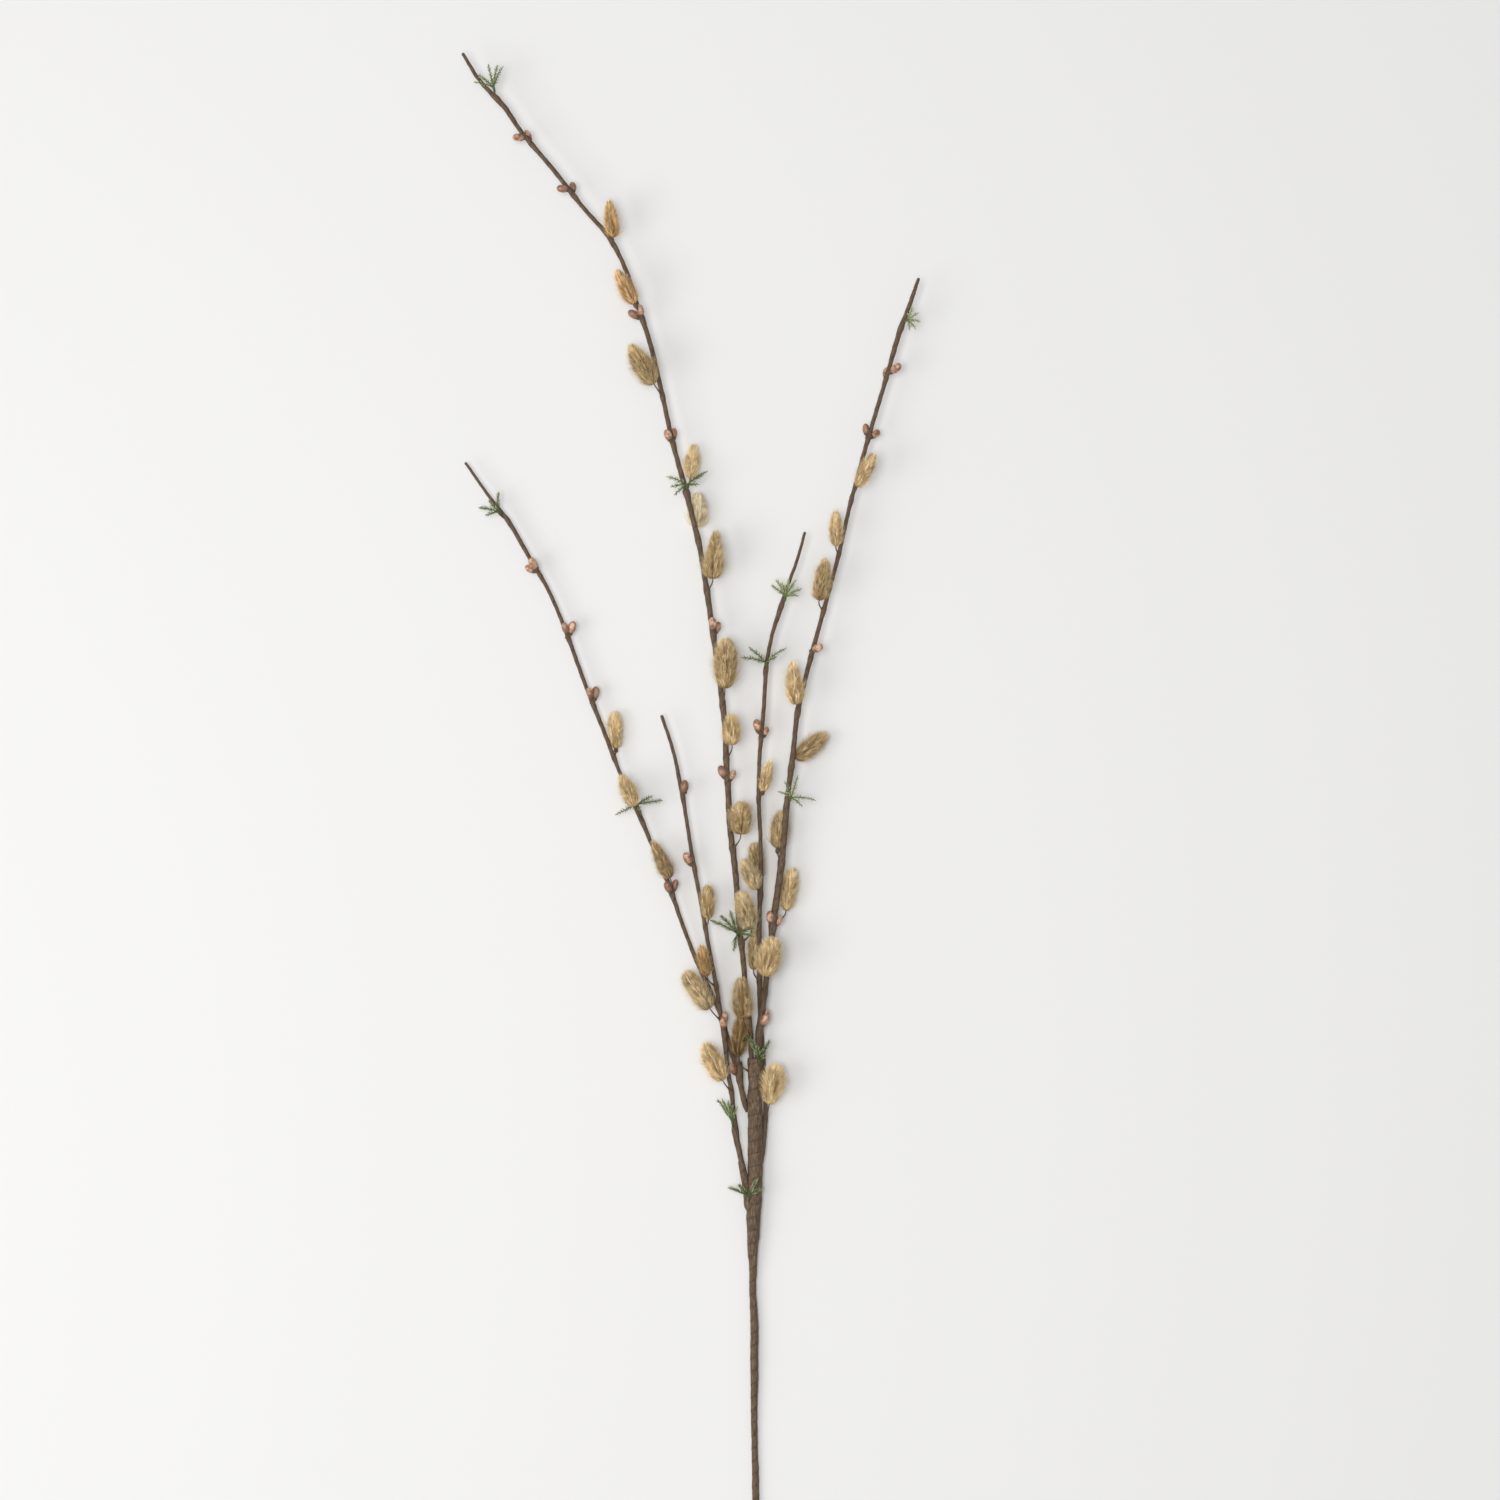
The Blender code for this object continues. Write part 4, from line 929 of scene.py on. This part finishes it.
# Green sprigs
# Small tufts of soft green plastic, like juniper: bent fronds with narrow flat leaves to both sides in
# turn, paler at the ends. Each tuft's stalk is wound into the stem with the tape.
SPRIG_STALK = 2.2
FROND_WIDTHS = (0.5, 0.25)
FROND_STEPS = 7
FROND_SIDES = 6
FROND_BEND = 0.14
LEAVES_APART = 1.2
LEAF_WIDTH = 1.0
LEAF_THICK = 0.35
# Where a leaf is broadest along its length, how much longer or shorter and more or less turned one can
# be than the next, and how much deeper or paler.
LEAF_BROADEST = 0.4
LEAF_LENGTHS = (0.75, 1.15)
LEAF_TURNS = (0.6, 1.3)
LEAF_TONES = (-0.45, 0.4)
GREEN_DEEP = (0.034, 0.068, 0.019)
GREEN_PLAIN = (0.150, 0.196, 0.062)
GREEN_PALE = (0.470, 0.510, 0.240)
GREEN_TIP = (0.78, 0.82, 0.46)
GREEN_SHADE = (0.062, 0.100, 0.030)


def leaf(foot, way, face, length, tone):
    """A flat pointed blade with six corners."""
    side = unit(np.cross(way, face))
    face = np.cross(side, way)
    broad = foot + way * length * LEAF_BROADEST
    points = np.array([
        foot, broad + side * LEAF_WIDTH / 2, broad + face * LEAF_THICK / 2,
        broad - side * LEAF_WIDTH / 2, broad - face * LEAF_THICK / 2, foot + way * length,
    ])
    ring = ((1, 2), (2, 3), (3, 4), (4, 1))
    return {
        "points": points,
        "faces": [(0, a, b) for a, b in ring] + [(5, b, a) for a, b in ring],
        "height": np.array((0, *(LEAF_BROADEST,) * 4, 1)),
        "tone": np.full(6, tone),
    }


def frond(start, end, lift, pale, lean, leaf_length, draw):
    """A bent stem with leaves to the left and right in turn, shorter to its tip, and one at the tip."""
    length = np.linalg.norm(end - start)
    share = np.linspace(0, 1, FROND_STEPS)[:, None]
    middle = (start + end) / 2 + lift * length * FROND_BEND
    curve = start * (1 - share) ** 2 + middle * 2 * share * (1 - share) + end * share ** 2
    form = tube(np.column_stack([curve, np.linspace(*FROND_WIDTHS, FROND_STEPS)]), FROND_SIDES)
    form["height"] = np.clip(form.pop("wrap")[:, 2] / length, 0, 1) * 0.3
    form["tone"] = np.full(len(form["height"]), pale * 0.6)
    forms = [form]
    count = max(4, round(length / LEAVES_APART))
    for number in range(count + 1):
        at = 0.15 + 0.83 * number / count
        foot = np.array([np.interp(at, share[:, 0], curve[:, column]) for column in range(3)])
        step = min(FROND_STEPS - 1, int(at * (FROND_STEPS - 1)) + 1)
        ahead = unit(curve[step] - curve[step - 1])
        side = unit(np.cross(ahead, UP)) * (-1) ** number
        tilt = draw.uniform(-0.5, 0.8)
        turn = math.radians(lean) * draw.uniform(*LEAF_TURNS) * (number < count)
        way = unit(ahead * math.cos(turn) + unit(side + UP * tilt) * math.sin(turn))
        face = UP + side * draw.uniform(-0.7, 0.7) + ahead * 0.2
        long = leaf_length * draw.uniform(*LEAF_LENGTHS) * (1.1 - 0.45 * at)
        tone = min(1, max(0, pale + draw.uniform(*LEAF_TONES)))
        forms.append(leaf(foot, way, face, long, tone))
    return forms


def sprig_finish():
    """Soft green plastic, deep at the foot of the tuft and yellow green at the leaves' ends."""
    finish, start = new_finish("sprig_green")
    height, tone = start.value_of("height"), start.value_of("tone")
    place = start.node("ShaderNodeTexCoord", {}, {}, "Object")
    patch = place.noise(260, 3)
    green = tone.ramp((0, GREEN_DEEP), (0.5, GREEN_PLAIN), (1, GREEN_PALE))
    green = ((height - 0.2).above(0) * (0.6 + tone)).below(1).blend(green, GREEN_TIP)
    green = (patch * 0.4).blend(green, GREEN_SHADE)
    sockets = {
        "Base Color": green, "Roughness": 0.42 + patch * 0.15, "Specular IOR Level": 0.45,
        "Normal": patch.bump(0.1),
    }
    shader = start.node("ShaderNodeBsdfPrincipled", {}, sockets)
    start.node("ShaderNodeOutputMaterial", {}, {"Surface": shader})
    return finish


green = sprig_finish()
for number, (carrier, place_name, pale, lean, leaf_length, root, tips) in enumerate(SPRIGS):
    draw = np.random.default_rng(500 + number)
    root = np.array(root, float)
    way = sprig_way(root, tips)
    fork = root + way * SPRIG_STALK
    foot = tube(np.array([(*(root - way), 0.8), (*root, 0.85), (*fork, 0.9), (*(fork + way), 0.5)]), 8)
    foot["height"] = np.zeros(len(foot["points"]))
    foot["tone"] = np.full(len(foot.pop("wrap")), 0.2)
    forms = [foot]
    for end in tips:
        forms += frond(fork, np.array(end, float), way, pale, lean, leaf_length, draw)
    name = f"{carrier}_{place_name}"
    piece("green_sprig_" + name, joined(forms), green, "sprig_green", "sprig_" + name)


# Surface, light and camera
# A pale plain table top. One soft box hangs overhead and one stands at the left, and a pale room, a
# little brighter on the left, fills in. The camera looks straight down from high up, with a long lens.
# Lengths here are in metres.
TABLE_REACH = 6
TABLE_COLOUR = (0.862, 0.862, 0.86)
ROOM_LIGHT = 0.4
ROOM_SLOPE = (-0.2, -0.05)
ROOM_LEAST = 0.05
ROOM_TINT = (0.985, 0.985, 0.983)
# Each soft box: its name, where it hangs, how wide it is, and its power in watts.
SOFT_BOXES = (("overhead", (-0.5, 0.1, 4.6), 1.7, 104), ("window", (-1.9, -0.55, 1.9), 1.5, 19))
LAMP_TINT = (1.0, 0.992, 0.98)
# The frame: its middle, its width at the height where most of the spray lies, and how high the camera is.
VIEW_MIDDLE = (0.042, 0.063)
VIEW_WIDTH = 1.05
SPRAY_HEIGHT = 0.012
VIEW_HEIGHT = 4.0
SENSOR = 36.0

corners = [(x * TABLE_REACH, y * TABLE_REACH, 0) for x, y in ((-1, -1), (1, -1), (1, 1), (-1, 1))]
table_mesh = bpy.data.meshes.new("table_top")
table_mesh.from_pydata(corners, [], [(0, 1, 2, 3)])
table = bpy.data.objects.new("table_top", table_mesh)
bpy.context.scene.collection.objects.link(table)
table_finish, start = new_finish("pale_table_top")
shader = start.node("ShaderNodeBsdfPrincipled", {}, {"Base Color": (*TABLE_COLOUR, 1), "Roughness": 0.9})
start.node("ShaderNodeOutputMaterial", {}, {"Surface": shader})
table_mesh.materials.append(table_finish)

room = bpy.data.worlds.new("pale_room")
room.use_nodes = True
room.node_tree.nodes.clear()
start = Wire(room.node_tree)
direction = start.node("ShaderNodeTexCoord", {}, {}, "Generated")
towards = start.node("ShaderNodeSeparateXYZ", {}, {0: direction})
strength = ROOM_LIGHT + towards.out("X") * ROOM_SLOPE[0] + towards.out("Y") * ROOM_SLOPE[1]
strength = strength.above(ROOM_LEAST)
background = start.node("ShaderNodeBackground", {}, {"Color": (*ROOM_TINT, 1), "Strength": strength})
start.node("ShaderNodeOutputWorld", {}, {"Surface": background})
bpy.context.scene.world = room
bpy.context.scene.view_settings.view_transform = "Standard"

for box_name, hung_at, across, power in SOFT_BOXES:
    lamp = bpy.data.lights.new("soft_box_" + box_name, "AREA")
    lamp.shape = "SQUARE"
    lamp.size = across
    lamp.energy = power
    lamp.color = LAMP_TINT
    holder = bpy.data.objects.new("soft_box_" + box_name, lamp)
    holder.location = hung_at
    holder.rotation_mode = "QUATERNION"
    holder.rotation_quaternion = (-Vector(hung_at)).to_track_quat("-Z", "Y")
    bpy.context.scene.collection.objects.link(holder)

camera = bpy.data.cameras.new("overhead_camera")
camera.sensor_width = SENSOR
camera.lens = SENSOR * (VIEW_HEIGHT - SPRAY_HEIGHT) / VIEW_WIDTH
camera_holder = bpy.data.objects.new("overhead_camera", camera)
camera_holder.location = (*VIEW_MIDDLE, VIEW_HEIGHT)
bpy.context.scene.collection.objects.link(camera_holder)
bpy.context.scene.camera = camera_holder
